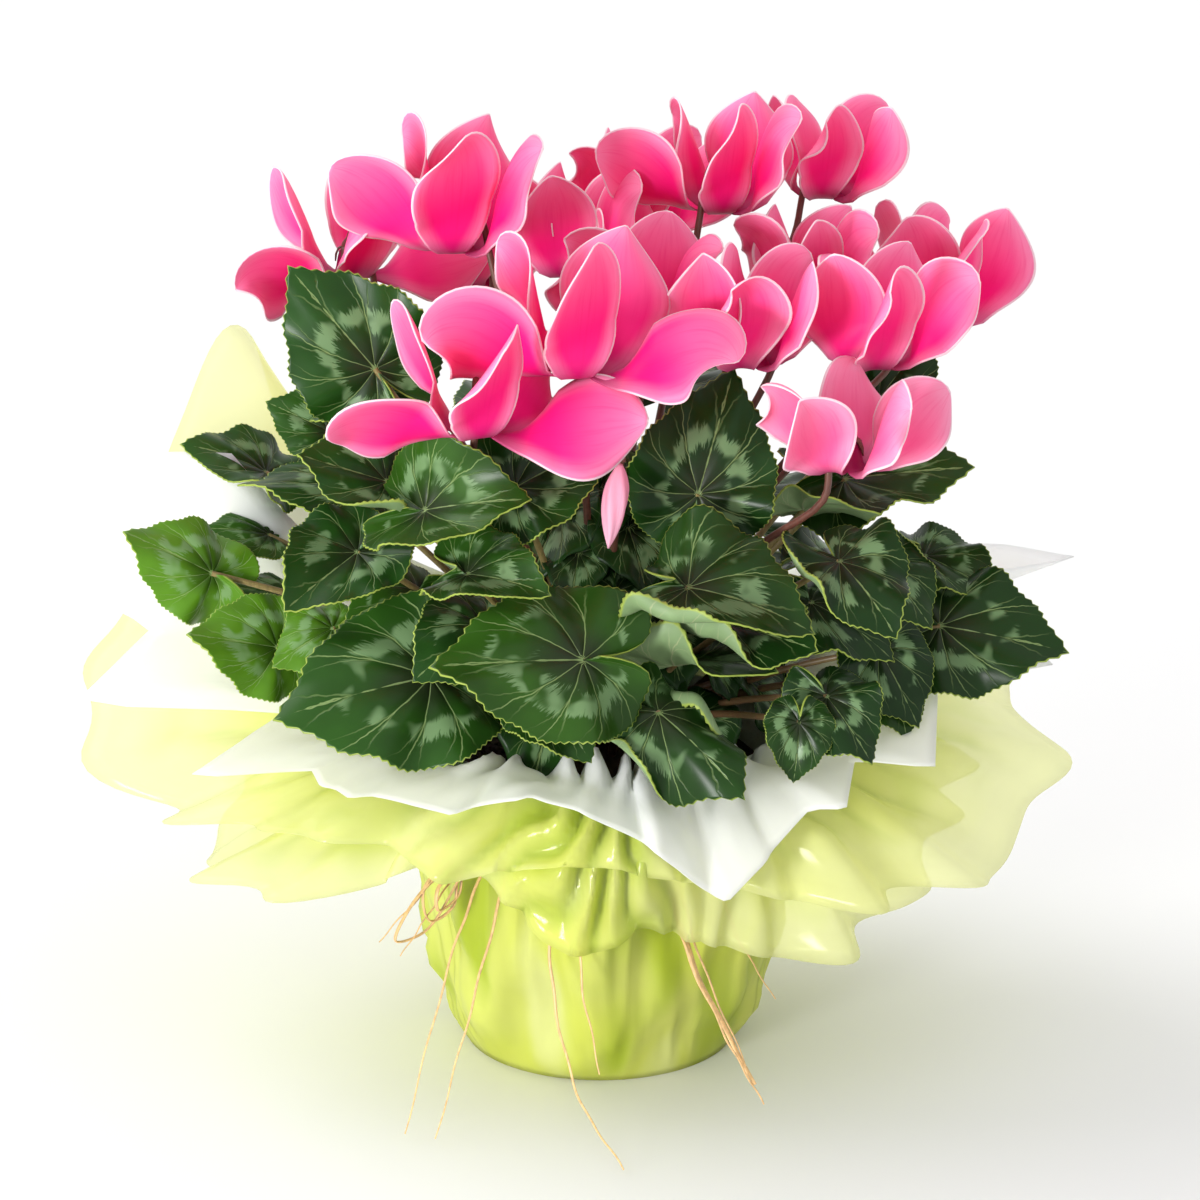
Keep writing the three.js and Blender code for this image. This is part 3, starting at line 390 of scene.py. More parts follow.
def mesh_object(name, points, faces, materials, corner_maps=None, point_values=None, face_materials=None):
    """A smooth mesh object. corner_maps (UV maps) and point_values (attributes) are given by vertex."""
    mesh = bpy.data.meshes.new(name)
    mesh.from_pydata((np.asarray(points) * MM).tolist(), [], faces)
    for material in materials:
        mesh.materials.append(material)
    corners = np.empty(len(mesh.loops), dtype=np.int32)
    mesh.loops.foreach_get("vertex_index", corners)
    for key, values in (corner_maps or {}).items():
        layer = mesh.uv_layers.new(name=key)
        layer.uv.foreach_set("vector", np.asarray(values, dtype=np.float32)[corners].ravel())
    for key, values in (point_values or {}).items():
        layer = mesh.attributes.new(key, "FLOAT", "POINT")
        layer.data.foreach_set("value", np.asarray(values, dtype=np.float32))
    if face_materials is not None:
        mesh.polygons.foreach_set("material_index", np.asarray(face_materials, dtype=np.int32))
    mesh.polygons.foreach_set("use_smooth", np.ones(len(mesh.polygons), dtype=bool))
    mesh.update()
    thing = bpy.data.objects.new(name, mesh)
    bpy.context.scene.collection.objects.link(thing)
    return thing


def vertex_normals(points, faces):
    """Unit normals at the points of a skin of quads or triangles."""
    normals = np.zeros_like(points)
    for size in {len(face) for face in faces}:
        rows = np.array([face for face in faces if len(face) == size])
        across = points[rows[:, 2]] - points[rows[:, 0]]
        if size == 4:
            flat = np.cross(across, points[rows[:, 3]] - points[rows[:, 1]])
        else:
            flat = np.cross(points[rows[:, 1]] - points[rows[:, 0]], across)
        flat /= np.maximum(np.linalg.norm(flat, axis=1, keepdims=True), 1e-12)
        for corner in range(size):
            np.add.at(normals, rows[:, corner], flat)
    return normals / np.maximum(np.linalg.norm(normals, axis=1, keepdims=True), 1e-12)


def closed_skin(points, faces, thick):
    """Both faces of a thin skin and the rim between them: points, faces, and the material of each face."""
    points = np.asarray(points, dtype=float)
    count = len(points)
    normals = vertex_normals(points, faces)
    edges = {}
    for face in faces:
        for a, b in zip(face, face[1:] + face[:1]):
            edges[(a, b)] = True
    rim = [(b, a, a + count, b + count) for a, b in edges if (b, a) not in edges]
    under = [tuple(i + count for i in reversed(face)) for face in faces]
    both = np.vstack([points + 0.5 * thick * normals, points - 0.5 * thick * normals])
    return both, list(faces) + under + rim, [0] * len(faces) + [1] * len(under) + [0] * len(rim)


def joined(name, things):
    """Several mesh objects as one, with their materials and attributes kept."""
    for thing in bpy.context.selected_objects:
        thing.select_set(False)
    for thing in things:
        thing.select_set(True)
    bpy.context.view_layer.objects.active = things[0]
    if len(things) > 1:
        bpy.ops.object.join()
    piece = bpy.context.view_layer.objects.active
    piece.name = name
    piece.data.name = name
    return piece


def finished(piece, slot, *nodes):
    """Hangs a piece on the root body and hides the solids that it stands for. The slot argument is not used.
    """
    if not piece.data.polygons:
        raise RuntimeError(piece.name + " came out empty")
    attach(piece, "root")
    if nodes:
        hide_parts(*nodes)
    return piece


# Node helpers.


class Nodes:
    """Adds nodes to a tree and links their sockets."""

    def __init__(self, tree):
        self.tree = tree

    def add(self, kind, values=None, **settings):
        node = self.tree.nodes.new(kind)
        for key, value in settings.items():
            setattr(node, key, value)
        for key, value in (values or {}).items():
            if isinstance(value, bpy.types.NodeSocket):
                self.tree.links.new(value, node.inputs[key])
            else:
                node.inputs[key].default_value = value
        return node

    def math(self, operation, *values):
        return self.add("ShaderNodeMath", dict(enumerate(values)), operation=operation).outputs[0]

    def times(self, first, *others):
        for other in others:
            first = self.math("MULTIPLY", first, other)
        return first

    def swing(self, noise, width):
        """A noise value about a half as one about zero, stretched to a width."""
        return self.times(self.math("SUBTRACT", noise, 0.5), width)

    def attribute(self, name):
        """A float attribute of the mesh, in a material."""
        node = self.add("ShaderNodeAttribute", attribute_name=name, attribute_type="GEOMETRY")
        return node.outputs["Fac"]

    def named(self, name, kind="FLOAT"):
        """An attribute of the mesh, in a geometry tree."""
        node = self.add("GeometryNodeInputNamedAttribute", {"Name": name}, data_type=kind)
        return node.outputs["Attribute"]

    def ramp(self, value, low, high, start=0.0, end=1.0):
        """A smooth step of value from start at low to end at high."""
        values = {"Value": value, "From Min": low, "From Max": high, "To Min": start, "To Max": end}
        return self.add("ShaderNodeMapRange", values, interpolation_type="SMOOTHSTEP").outputs["Result"]

    def mix(self, share, first, second):
        node = self.add("ShaderNodeMix", data_type="RGBA")
        for socket, value in zip((node.inputs[0], node.inputs[6], node.inputs[7]), (share, first, second)):
            if isinstance(value, bpy.types.NodeSocket):
                self.tree.links.new(value, socket)
            elif isinstance(value, (int, float)):
                socket.default_value = value
            else:
                socket.default_value = (*value, 1.0)
        return node.outputs[2]

    def noise(self, vector, scale, detail=2.0, roughness=0.5):
        values = {"Vector": vector, "Scale": scale, "Detail": detail, "Roughness": roughness}
        return self.add("ShaderNodeTexNoise", values).outputs["Fac"]


def new_material(name):
    """An empty material with its shader nodes and the output node."""
    material = bpy.data.materials.new(name)
    material.use_nodes = True
    material.node_tree.nodes.clear()
    nodes = Nodes(material.node_tree)
    return material, nodes, nodes.add("ShaderNodeOutputMaterial")


def link_surface(nodes, output, shader):
    nodes.tree.links.new(shader, output.inputs["Surface"])


def link_glowing(nodes, output, values, through, share):
    """A surface with these values, and a share of light that comes through it in a colour of its own."""
    surface = nodes.add("ShaderNodeBsdfPrincipled", values)
    glow = nodes.add("ShaderNodeBsdfTranslucent", {"Color": through})
    blend = nodes.add("ShaderNodeMixShader", {0: share, 1: surface.outputs[0], 2: glow.outputs[0]})
    link_surface(nodes, output, blend.outputs[0])


def vein_pattern(nodes, shift):
    """Sockets that the leaf's two sides share: share of the way out, veins, forks, and flat coordinates."""
    veins = nodes.add("ShaderNodeUVMap", uv_map="veins").outputs["UV"]
    flat = nodes.add("ShaderNodeUVMap", uv_map="flat").outputs["UV"]
    moved = nodes.add("ShaderNodeMapping", {"Vector": flat, "Location": shift}).outputs["Vector"]
    split = nodes.add("ShaderNodeSeparateXYZ", {"Vector": veins})
    order, reach = split.outputs["X"], split.outputs["Y"]
    order = nodes.math("ADD", order, nodes.swing(nodes.noise(moved, 9.0), VEIN["wobble"]))
    nearest = nodes.math("FRACT", nodes.math("ADD", order, 0.5))
    off = nodes.math("ABSOLUTE", nodes.math("SUBTRACT", nearest, 0.5))
    main = nodes.ramp(nodes.times(off, reach), *VEIN["width"], 1.0, 0.0)
    fork_off = nodes.times(nodes.math("SUBTRACT", reach, VEIN["fork"]), VEIN["spread"])
    fork_width = nodes.times(nodes.math("ABSOLUTE", nodes.math("SUBTRACT", off, fork_off)), reach)
    fork = nodes.ramp(fork_width, *VEIN["fork_width"], 1.0, 0.0)
    fork = nodes.times(fork, nodes.ramp(reach, 0.46, 0.5), nodes.ramp(reach, 0.75, 0.95, 0.8, 0.1))
    main = nodes.times(main, nodes.ramp(reach, 0.8, 1.0, 1.0, 0.45))
    return moved, order, off, reach, main, fork


def leaf_material(name, shift, young):
    """Upper side of a leaf: dark green, painted lighter towards the plant's left and darker towards its
    right, a dark heart deepened with painted shade, broken silver flecks between the veins, and a pale
    margin.
    """
    settings = bpy.context.scene.cyclamen_leaves
    material, nodes, output = new_material(name)
    flat, order, off, reach, main, fork = vein_pattern(nodes, shift)
    clouds = nodes.add("ShaderNodeTexNoise", {"Vector": flat, "Scale": 2.7, "Detail": 2.0}).outputs["Color"]
    cloud = nodes.add("ShaderNodeSeparateColor", {"Color": clouds})
    streaks = nodes.add("ShaderNodeCombineXYZ", {"X": nodes.times(order, 3.5), "Y": reach})
    ring = nodes.math("ADD", reach, nodes.swing(nodes.noise(streaks.outputs[0], 4.0, 3.0, 0.7), 0.42))
    ring = nodes.math("ADD", ring, nodes.swing(cloud.outputs[0], 0.4))
    band = nodes.times(nodes.ramp(ring, 0.40, 0.45), nodes.ramp(ring, 0.62, 0.70, 1.0, 0.0))
    silver = nodes.times(band, nodes.ramp(off, 0.03, 0.12), nodes.ramp(cloud.outputs[1], 0.45, 0.53))

    green = [(1 - young) * dark + young * light for dark, light in zip(settings.green, LIGHT_GREEN)]
    heart = nodes.ramp(reach, 0.10, 0.55, 0.9, 0.0)
    # Painted light and shade: blades lighter towards -X, the plant's left as seen from the front, and darker
    # towards +X, with some random tone from the noise.
    place = nodes.add("ShaderNodeSeparateXYZ", {"Vector": nodes.add("ShaderNodeTexCoord").outputs["Object"]})
    side = nodes.math("ADD", nodes.times(place.outputs["X"], -2.4), cloud.outputs[2])
    lit_green = [value * share for value, share in zip(green, (1.6, 1.6, 1.2))]
    colour = nodes.mix(nodes.ramp(side, 0.2, 1.0), [0.66 * value for value in green], lit_green)
    # Towards the stalk the blade darkens to its heart: the leaf's own dark middle, deepened as painted
    # shade.
    colour = nodes.mix(heart, colour, LEAF_HEART_SHADE if young < 0.3 else [0.42 * value for value in green])
    colour = nodes.mix(nodes.times(silver, 0.68), colour, tuple(settings.silver))
    colour = nodes.mix(nodes.times(main, 0.6), colour, tuple(settings.vein))
    colour = nodes.mix(nodes.times(fork, 0.3), colour, tuple(settings.vein))
    colour = nodes.mix(nodes.ramp(reach, 0.988, 0.999), colour, tuple(settings.margin))

    lines = nodes.times(nodes.math("ADD", main, fork), -1.0)
    bump = nodes.add("ShaderNodeBump", {"Height": lines, "Strength": 0.35, "Distance": 0.0008})
    values = {"Base Color": colour, "Roughness": 0.3, "Specular IOR Level": 0.2, "Normal": bump.outputs[0]}
    link_glowing(nodes, output, values, nodes.mix(0.6, colour, LEAF_GLOW), 0.10)
    return material


def under_leaf_material():
    """Lower side of a leaf: pale green with faint veins."""
    settings = bpy.context.scene.cyclamen_leaves
    material, nodes, output = new_material("Leaf underside")
    flat, _, _, reach, main, fork = vein_pattern(nodes, (0.0, 0.0, 0.0))
    under = tuple(settings.under)
    colour = nodes.mix(nodes.noise(flat, 6.0, 1.0), under, [0.72 * value for value in under])
    lines = nodes.math("MAXIMUM", main, nodes.times(fork, 0.7))
    colour = nodes.mix(nodes.times(lines, 0.6), colour, UNDER_VEIN)
    colour = nodes.mix(nodes.ramp(reach, 0.955, 0.985), colour, tuple(settings.margin))
    link_glowing(nodes, output, {"Base Color": colour, "Roughness": 0.55}, colour, 0.12)
    return material


def stalk_material(name, low, high, foot, top):
    """A finely streaked stalk whose colour runs from low at height foot to high at height top, in metres."""
    material, nodes, output = new_material(name)
    place = nodes.add("ShaderNodeTexCoord").outputs["Object"]
    height = nodes.add("ShaderNodeSeparateXYZ", {"Vector": place}).outputs["Z"]
    stretched = nodes.add("ShaderNodeMapping", {"Vector": place, "Scale": (1.0, 1.0, 0.12)})
    streak = nodes.noise(stretched.outputs["Vector"], 900.0, 2.0)
    colour = nodes.mix(nodes.ramp(height, foot, top), low, high)
    colour = nodes.mix(nodes.ramp(streak, 0.35, 0.7, 0.0, 0.5), colour, [0.5 * value for value in high])
    surface = nodes.add("ShaderNodeBsdfPrincipled", {"Base Color": colour, "Roughness": 0.42})
    link_surface(nodes, output, surface.outputs[0])
    return material


def petal_material(name, pale):
    """A petal: deep at the throat, pink along the blade, paler outwards, with a thin white margin."""
    settings = bpy.context.scene.cyclamen_flowers
    material, nodes, output = new_material(name)
    petal = nodes.add("ShaderNodeUVMap", uv_map="petal").outputs["UV"]
    rim = nodes.attribute("rim")
    split = nodes.add("ShaderNodeSeparateXYZ", {"Vector": petal})
    along, across = split.outputs["X"], split.outputs["Y"]
    streaks = nodes.add("ShaderNodeCombineXYZ", {"X": nodes.times(across, 9.0), "Y": along})
    streak = nodes.noise(streaks.outputs[0], 2.4, 2.0, 0.6)
    pink = [(1 - pale) * full + pale * light for full, light in zip(settings.pink, PALE_PINK)]
    light = [value + (1 - value) * share for value, share in zip(pink, (0.5, 0.34, 0.42))]
    colour = nodes.mix(nodes.ramp(along, 0.35, 1.05, 0.0, 0.6), pink, light)
    colour = nodes.mix(nodes.ramp(rim, 8.0, 0.0, 0.0, 0.75), colour, light)
    dark = [0.9 * pink[0], 0.55 * pink[1], 0.75 * pink[2]]
    colour = nodes.mix(nodes.ramp(streak, 0.45, 0.8, 0.0, 0.35), colour, dark)
    colour = nodes.mix(nodes.ramp(along, 0.02, 0.30, 0.92, 0.0), colour, tuple(settings.base))
    edge = nodes.times(nodes.ramp(rim, 0.8, 0.4), nodes.ramp(along, 0.12, 0.3), 0.95)
    colour = nodes.mix(edge, colour, tuple(settings.margin))
    values = {"Base Color": colour, "Roughness": 0.45, "Specular IOR Level": 0.25}
    link_glowing(nodes, output, values, colour, 0.3)
    return material


def film_material(name, colour, deep, pale, rough, clear_share):
    """A thin wrapping sheet: glossy, lit from behind and clear; painted shade makes it deeper in its folds
    and painted light paler on its free lobes, with painted highlight and shade in upright patches near the
    pot.
    """
    material, nodes, output = new_material(name)
    fold, spread = nodes.attribute("fold"), nodes.attribute("spread")
    place = nodes.add("ShaderNodeTexCoord").outputs["Object"]
    cloud = nodes.ramp(nodes.noise(place, 30.0, 0.0), 0.35, 0.7)
    # Painted shade: a deeper tone in the valleys of the pleats.
    tint = nodes.mix(nodes.times(nodes.ramp(fold, 0.32, 0.0), 0.9), colour, deep)
    # Painted light: a paler tone out on the free lobes.
    tint = nodes.mix(nodes.math("ADD", spread, nodes.times(cloud, 0.2)), tint, pale)
    # Painted highlight and shade on the sheet near the pot: upright patches, deeper where the noise is high
    # and paler where it is low.
    upright = nodes.add("ShaderNodeMapping", {"Vector": place, "Scale": (1.0, 1.0, 0.4)}).outputs["Vector"]
    broad = nodes.noise(upright, 34.0, 1.0)
    near = nodes.math("SUBTRACT", 1.0, spread)
    tint = nodes.mix(nodes.times(nodes.ramp(broad, 0.52, 0.70, 0.0, 0.75), near), tint, deep)
    tint = nodes.mix(nodes.times(nodes.ramp(broad, 0.46, 0.30, 0.0, 0.65), near), tint, pale)
    skin = nodes.add("ShaderNodeBsdfPrincipled", {"Base Color": tint, "Roughness": rough})
    glow = nodes.add("ShaderNodeBsdfTranslucent", {"Color": tint})
    clear = nodes.add("ShaderNodeBsdfTransparent", {"Color": nodes.mix(0.5, tint, (1.0, 1.0, 1.0))})
    lit = nodes.add("ShaderNodeMixShader", {0: 0.5, 1: skin.outputs[0], 2: glow.outputs[0]})
    share = nodes.times(nodes.math("ADD", spread, 0.5), clear_share)
    blend = nodes.add("ShaderNodeMixShader", {0: share, 1: lit.outputs[0], 2: clear.outputs[0]})
    link_surface(nodes, output, blend.outputs[0])
    return material


def grain_material(name, dark, light, scale, rough):
    """A matt, grainy stuff such as soil, bark or plastic: two colours mixed by noise."""
    material, nodes, output = new_material(name)
    place = nodes.add("ShaderNodeTexCoord").outputs["Object"]
    grain = nodes.noise(place, scale, 5.0, 0.65)
    bump = nodes.add("ShaderNodeBump", {"Height": grain, "Strength": 0.6, "Distance": 0.0006})
    colour = nodes.mix(nodes.ramp(grain, 0.35, 0.65), dark, light)
    values = {"Base Color": colour, "Roughness": rough, "Normal": bump.outputs[0]}
    link_surface(nodes, output, nodes.add("ShaderNodeBsdfPrincipled", values).outputs[0])
    return material


# Geometry Nodes trees.


def new_tree(name, inputs):
    """An empty geometry tree with these (name, socket type, default) inputs besides its geometry."""
    tree = bpy.data.node_groups.new(name, "GeometryNodeTree")
    tree.is_modifier = True
    tree.interface.new_socket("Geometry", in_out="INPUT", socket_type="NodeSocketGeometry")
    tree.interface.new_socket("Geometry", in_out="OUTPUT", socket_type="NodeSocketGeometry")
    for label, kind, default in inputs:
        socket = tree.interface.new_socket(label, in_out="INPUT", socket_type=kind)
        if default is not None:
            socket.default_value = default
    nodes = Nodes(tree)
    return tree, nodes, nodes.add("NodeGroupInput"), nodes.add("NodeGroupOutput")


def end_tree(nodes, geometry, material, output):
    """Realize Instances and Set Material, as the last steps of a tree."""
    real = nodes.add("GeometryNodeRealizeInstances", {"Geometry": geometry}).outputs[0]
    painted = nodes.add("GeometryNodeSetMaterial", {"Geometry": real, "Material": material}).outputs[0]
    nodes.tree.links.new(painted, output.inputs[0])


def rod_tree():
    """Rods along the polylines of a mesh, as thick as its girth attribute says, round or flattened."""
    inputs = [
        ("Sides", "NodeSocketInt", 8),
        ("Flatness", "NodeSocketFloat", 1.0),
        ("Material", "NodeSocketMaterial", None),
    ]
    tree, nodes, given, output = new_tree("Rods along paths", inputs)
    paths = nodes.add("GeometryNodeMeshToCurve", {"Mesh": given.outputs["Geometry"]}).outputs[0]
    girth = nodes.named("girth")
    sized = nodes.add("GeometryNodeSetCurveRadius", {"Curve": paths, "Radius": girth}).outputs[0]
    values = {"Resolution": given.outputs["Sides"], "Radius": 1.0}
    ring = nodes.add("GeometryNodeCurvePrimitiveCircle", values)
    shape = nodes.add("ShaderNodeCombineXYZ", {"X": 1.0, "Y": given.outputs["Flatness"], "Z": 1.0})
    values = {"Geometry": ring.outputs[0], "Scale": shape.outputs[0]}
    profile = nodes.add("GeometryNodeTransform", values).outputs[0]
    values = {"Curve": sized, "Profile Curve": profile, "Fill Caps": True}
    swept = nodes.add("GeometryNodeCurveToMesh", values)
    if "Scale" in swept.inputs:
        tree.links.new(girth, swept.inputs["Scale"])
    smooth = nodes.add("GeometryNodeSetShadeSmooth", {"Geometry": swept.outputs[0]}).outputs[0]
    end_tree(nodes, smooth, given.outputs["Material"], output)
    return tree


def crumb_tree():
    """Crumbs of soil strewn on a surface."""
    inputs = [
        ("Crumbs", "NodeSocketFloat", 90000.0),
        ("Size", "NodeSocketFloat", 0.0016),
        ("Seed", "NodeSocketInt", 7),
        ("Material", "NodeSocketMaterial", None),
    ]
    tree, nodes, given, output = new_tree("Crumbs on soil", inputs)
    values = {
        "Mesh": given.outputs["Geometry"],
        "Density": given.outputs["Crumbs"],
        "Seed": given.outputs["Seed"],
    }
    spots = nodes.add("GeometryNodeDistributePointsOnFaces", values)
    crumb = nodes.add("GeometryNodeMeshIcoSphere", {"Radius": given.outputs["Size"], "Subdivisions": 1})
    values = {"Min": (0.0, 0.0, 0.0), "Max": (6.0, 6.0, 6.0), "Seed": 3}
    turn = nodes.add("FunctionNodeRandomValue", values, data_type="FLOAT_VECTOR").outputs[0]
    values = {"Min": (0.35, 0.35, 0.3), "Max": (1.3, 1.1, 0.9), "Seed": 5}
    size = nodes.add("FunctionNodeRandomValue", values, data_type="FLOAT_VECTOR").outputs[0]
    values = {
        "Points": spots.outputs["Points"],
        "Instance": crumb.outputs[0],
        "Rotation": turn,
        "Scale": size,
    }
    strewn = nodes.add("GeometryNodeInstanceOnPoints", values)
    end_tree(nodes, strewn.outputs[0], given.outputs["Material"], output)
    return tree


def pleat_tree():
    """Pleats and creases of a gathered sheet along its way attribute, as high as its amounts say."""
    inputs = [
        ("Pleats", "NodeSocketFloat", 26.0),
        ("Depth", "NodeSocketFloat", 0.007),
        ("Crumple", "NodeSocketFloat", 0.0022),
        ("Seed", "NodeSocketFloat", 4.0),
        ("Material", "NodeSocketMaterial", None),
    ]
    tree, nodes, given, output = new_tree("Pleats of a sheet", inputs)
    turn = nodes.named("turn")
    rise = nodes.times(nodes.named("along"), PLEAT["rise"])
    values = {"X": nodes.math("COSINE", turn), "Y": nodes.math("SINE", turn), "Z": rise}
    circle = nodes.add("ShaderNodeCombineXYZ", values).outputs[0]
    values = {"Vector": circle, "W": given.outputs["Seed"], "Scale": 2.1, "Detail": 1.0}
    drift = nodes.add("ShaderNodeTexNoise", values, noise_dimensions="4D").outputs["Color"]
    drift = nodes.add("ShaderNodeSeparateXYZ", {0: drift})
    phase = nodes.times(turn, nodes.math("DIVIDE", given.outputs["Pleats"], math.pi))
    phase = nodes.math("ADD", phase, nodes.times(drift.outputs[0], PLEAT["drift"]))
    pleat = nodes.math("PINGPONG", phase, 1.0)
    strength = nodes.math("ADD", nodes.swing(drift.outputs[1], PLEAT["uneven"]), PLEAT["usual"])
    broad = nodes.swing(drift.outputs[2], PLEAT["broad"])
    height = nodes.math("ADD", nodes.math("SUBTRACT", pleat, 0.5), broad)
    folded = nodes.times(height, given.outputs["Depth"], strength, nodes.named("amount"))

    place = nodes.add("GeometryNodeInputPosition").outputs[0]
    ridges = []
    for where, scale in ((circle, PLEAT["long_crease"]), (place, PLEAT["short_crease"])):
        values = {"Vector": where, "W": given.outputs["Seed"], "Scale": scale, "Detail": 1.0}
        noise = nodes.add("ShaderNodeTexNoise", values, noise_dimensions="4D").outputs[0]
        ridges.append(nodes.math("ABSOLUTE", nodes.math("SUBTRACT", noise, 0.5)))
    ridges = nodes.math("SUBTRACT", nodes.math("ADD", *ridges), PLEAT["ridge_level"])
    cells = nodes.add("ShaderNodeTexVoronoi", {"Vector": place, "Scale": PLEAT["facets"]})
    facets = nodes.times(nodes.math("SUBTRACT", cells.outputs["Distance"], 0.45), 0.4)
    creased = nodes.math("ADD", ridges, facets)
    creased = nodes.times(creased, given.outputs["Crumple"], nodes.named("creased"))

    values = {0: nodes.named("way", "FLOAT_VECTOR"), "Scale": nodes.math("ADD", folded, creased)}
    offset = nodes.add("ShaderNodeVectorMath", values, operation="SCALE").outputs[0]
    values = {"Geometry": given.outputs["Geometry"], "Offset": offset}
    moved = nodes.add("GeometryNodeSetPosition", values).outputs[0]
    values = {"Geometry": moved, "Name": "fold", "Value": pleat}
    marked = nodes.add("GeometryNodeStoreNamedAttribute", values, data_type="FLOAT", domain="POINT")
    end_tree(nodes, marked.outputs[0], given.outputs["Material"], output)
    return tree


def through_tree(source, tree, values, name):
    """The plain mesh that a geometry tree makes of an object, which is then removed."""
    modifier = source.modifiers.new("tree", "NODES")
    modifier.node_group = tree
    for item in tree.interface.items_tree:
        if item.in_out == "INPUT" and item.name in values:
            modifier[item.identifier] = values[item.name]
    source.update_tag()
    graph = bpy.context.evaluated_depsgraph_get()
    mesh = bpy.data.meshes.new_from_object(source.evaluated_get(graph))
    mesh.name = name
    made = bpy.data.objects.new(name, mesh)
    bpy.context.scene.collection.objects.link(made)
    bpy.data.objects.remove(source)
    return made


def rods(name, paths, material, sides=8, flatness=1.0):
    """One mesh of rods: paths are pairs of points and girths, in millimetres."""
    points, girths, edges = [], [], []
    for path, girth in paths:
        start = len(points)
        points += [tuple(MM * value for value in point) for point in path]
        girths += [MM * value for value in girth]
        edges += [(start + i, start + i + 1) for i in range(len(path) - 1)]
    mesh = bpy.data.meshes.new(name + "_paths")
    mesh.from_pydata(points, edges, [])
    mesh.attributes.new("girth", "FLOAT", "POINT").data.foreach_set("value", girths)
    source = bpy.data.objects.new(name + "_paths", mesh)
    bpy.context.scene.collection.objects.link(source)
    values = {"Sides": sides, "Flatness": flatness, "Material": material}
    return through_tree(source, TREES["rods"], values, name)


# Curves of the plant, as in its solids.


def unit(vector):
    return np.asarray(vector, dtype=float) / np.linalg.norm(vector)


def smooth_path(points, steps):
    """A centripetal spline through the points, with a number of steps between each two."""
    points = [np.asarray(point, dtype=float) for point in points]
    points = [2 * points[0] - points[1], *points, 2 * points[-1] - points[-2]]
    path = []
    for a, b, c, d in zip(points, points[1:], points[2:], points[3:]):
        knots = [0.0]
        for first, second in ((a, b), (b, c), (c, d)):
            knots.append(knots[-1] + max(1e-4, np.linalg.norm(second - first)) ** 0.5)
        for step in range(steps):
            t = knots[1] + (knots[2] - knots[1]) * step / steps
            level = [a, b, c, d]
            for order in (1, 2, 3):
                level = [
                    (level[i] * (knots[i + span] - t) + level[i + 1] * (t - knots[i + low]))
                    / (knots[i + span] - knots[i + low])
                    for i, span, low in spans(order)
                ]
            path.append(level[0])
    return [*path, points[-2]]


def spans(order):
    """Knot spans of the pyramid that smooth_path climbs: index, upper knot and lower knot."""
    if order == 1:
        return [(0, 1, 0), (1, 1, 0), (2, 1, 0)]
    if order == 2:
        return [(0, 2, 0), (1, 2, 0)]
    return [(0, 2, 1)]


def crown_places(groups):
    """Places on the crown for groups of stalks, each near what it carries and pushed clear of the rest."""
    places = []
    for targets in groups:
        mean = np.mean(np.array(targets, dtype=float), axis=0)
        out = math.hypot(mean[0], mean[1])
        lean = math.atan2(out, mean[2] - TUBER["z"]) / (math.pi / 2)
        share = CROWN["reach"] * min(1, 1.1 * lean) / out
        places.append([mean[0] * share, mean[1] * share])
    room = [CROWN["room"][len(targets) - 1] for targets in groups]
    for _ in range(400):
        for i, here in enumerate(places):
            for j in range(i):
                there = places[j]
                x, y = here[0] - there[0], here[1] - there[1]
                apart = math.hypot(x, y)
                short = room[i] + room[j] - apart
                if short > 0:
                    x, y = x * short / 2 / apart, y * short / 2 / apart
                    here[0] += x
                    here[1] += y
                    there[0] -= x
                    there[1] -= y
            out = math.hypot(*here)
            if out > CROWN["reach"]:
                here[0] *= CROWN["reach"] / out
                here[1] *= CROWN["reach"] / out
    return places


def group_feet(place, targets):
    """Feet of a group, side by side across the way that the group leans."""
    across = np.array([-place[1], place[0]])
    across *= CROWN["member"] / np.linalg.norm(across)
    turns = [np.dot(target[:2], across) / math.hypot(target[0], target[1]) for target in targets]
    order = sorted(range(len(targets)), key=lambda i: turns[i])
    middle = (len(targets) - 1) / 2
    return [np.array(place) + across * (order.index(i) - middle) for i in range(len(targets))]


def stalk_points(foot, target, steps):
    """A stalk's line: square off the tuber, then arching out to what it carries."""
    share = math.hypot(*foot) / TUBER["radius"]
    rise = math.sqrt(1 - share * share)
    flat = 1 / TUBER["radius"] ** 2
    normal = unit((foot[0] * flat, foot[1] * flat, rise / TUBER["half_height"]))
    start = np.array([foot[0], foot[1], TUBER["z"] + TUBER["half_height"] * rise]) - 0.6 * normal
    target = np.asarray(target, dtype=float)
    length = np.linalg.norm(target - start)
    outward = np.array([target[0] - start[0], target[1] - start[1], 0.0])
    lean = math.atan2(np.linalg.norm(outward), target[2] - start[2]) * LEAF["sweep"]
    arrival = unit(outward) * math.sin(lean) + np.array([0, 0, math.cos(lean)])
    second = start + 0.3 * length * normal
    third = target - 0.3 * length * arrival
    shares = np.linspace(0, 1, steps + 1)[:, None]
    return list(
        start * (1 - shares) ** 3
        + 3 * second * shares * (1 - shares) ** 2
        + 3 * third * shares**2 * (1 - shares)
        + target * shares**3
    )


def back_leaves():
    """Leaves of the far side by the name of the solid that each bunch stands for."""
    rows = {}
    for bunch, (turn, further, higher) in enumerate(BACK_BUNCHES):
        leaves = []
        for ahead, reach, height, length, rise, bunches in BACK_TIERS:
            if bunch not in bunches:
                continue
            way = math.radians(turn + ahead)
            out = np.array([math.sin(way), -math.cos(way), 0.0])
            at = out * (reach + further) + np.array([0, 0, height + higher])
            tip = at + 0.9 * length * out + np.array([0, 0, rise])
            leaves.append((tuple(at), tuple(tip), tuple(BACK_TILT * out + np.array([0, 0, 1.0])), BACK_BEND))
        rows["leaves_back_%d" % (bunch + 1)] = leaves
    return rows


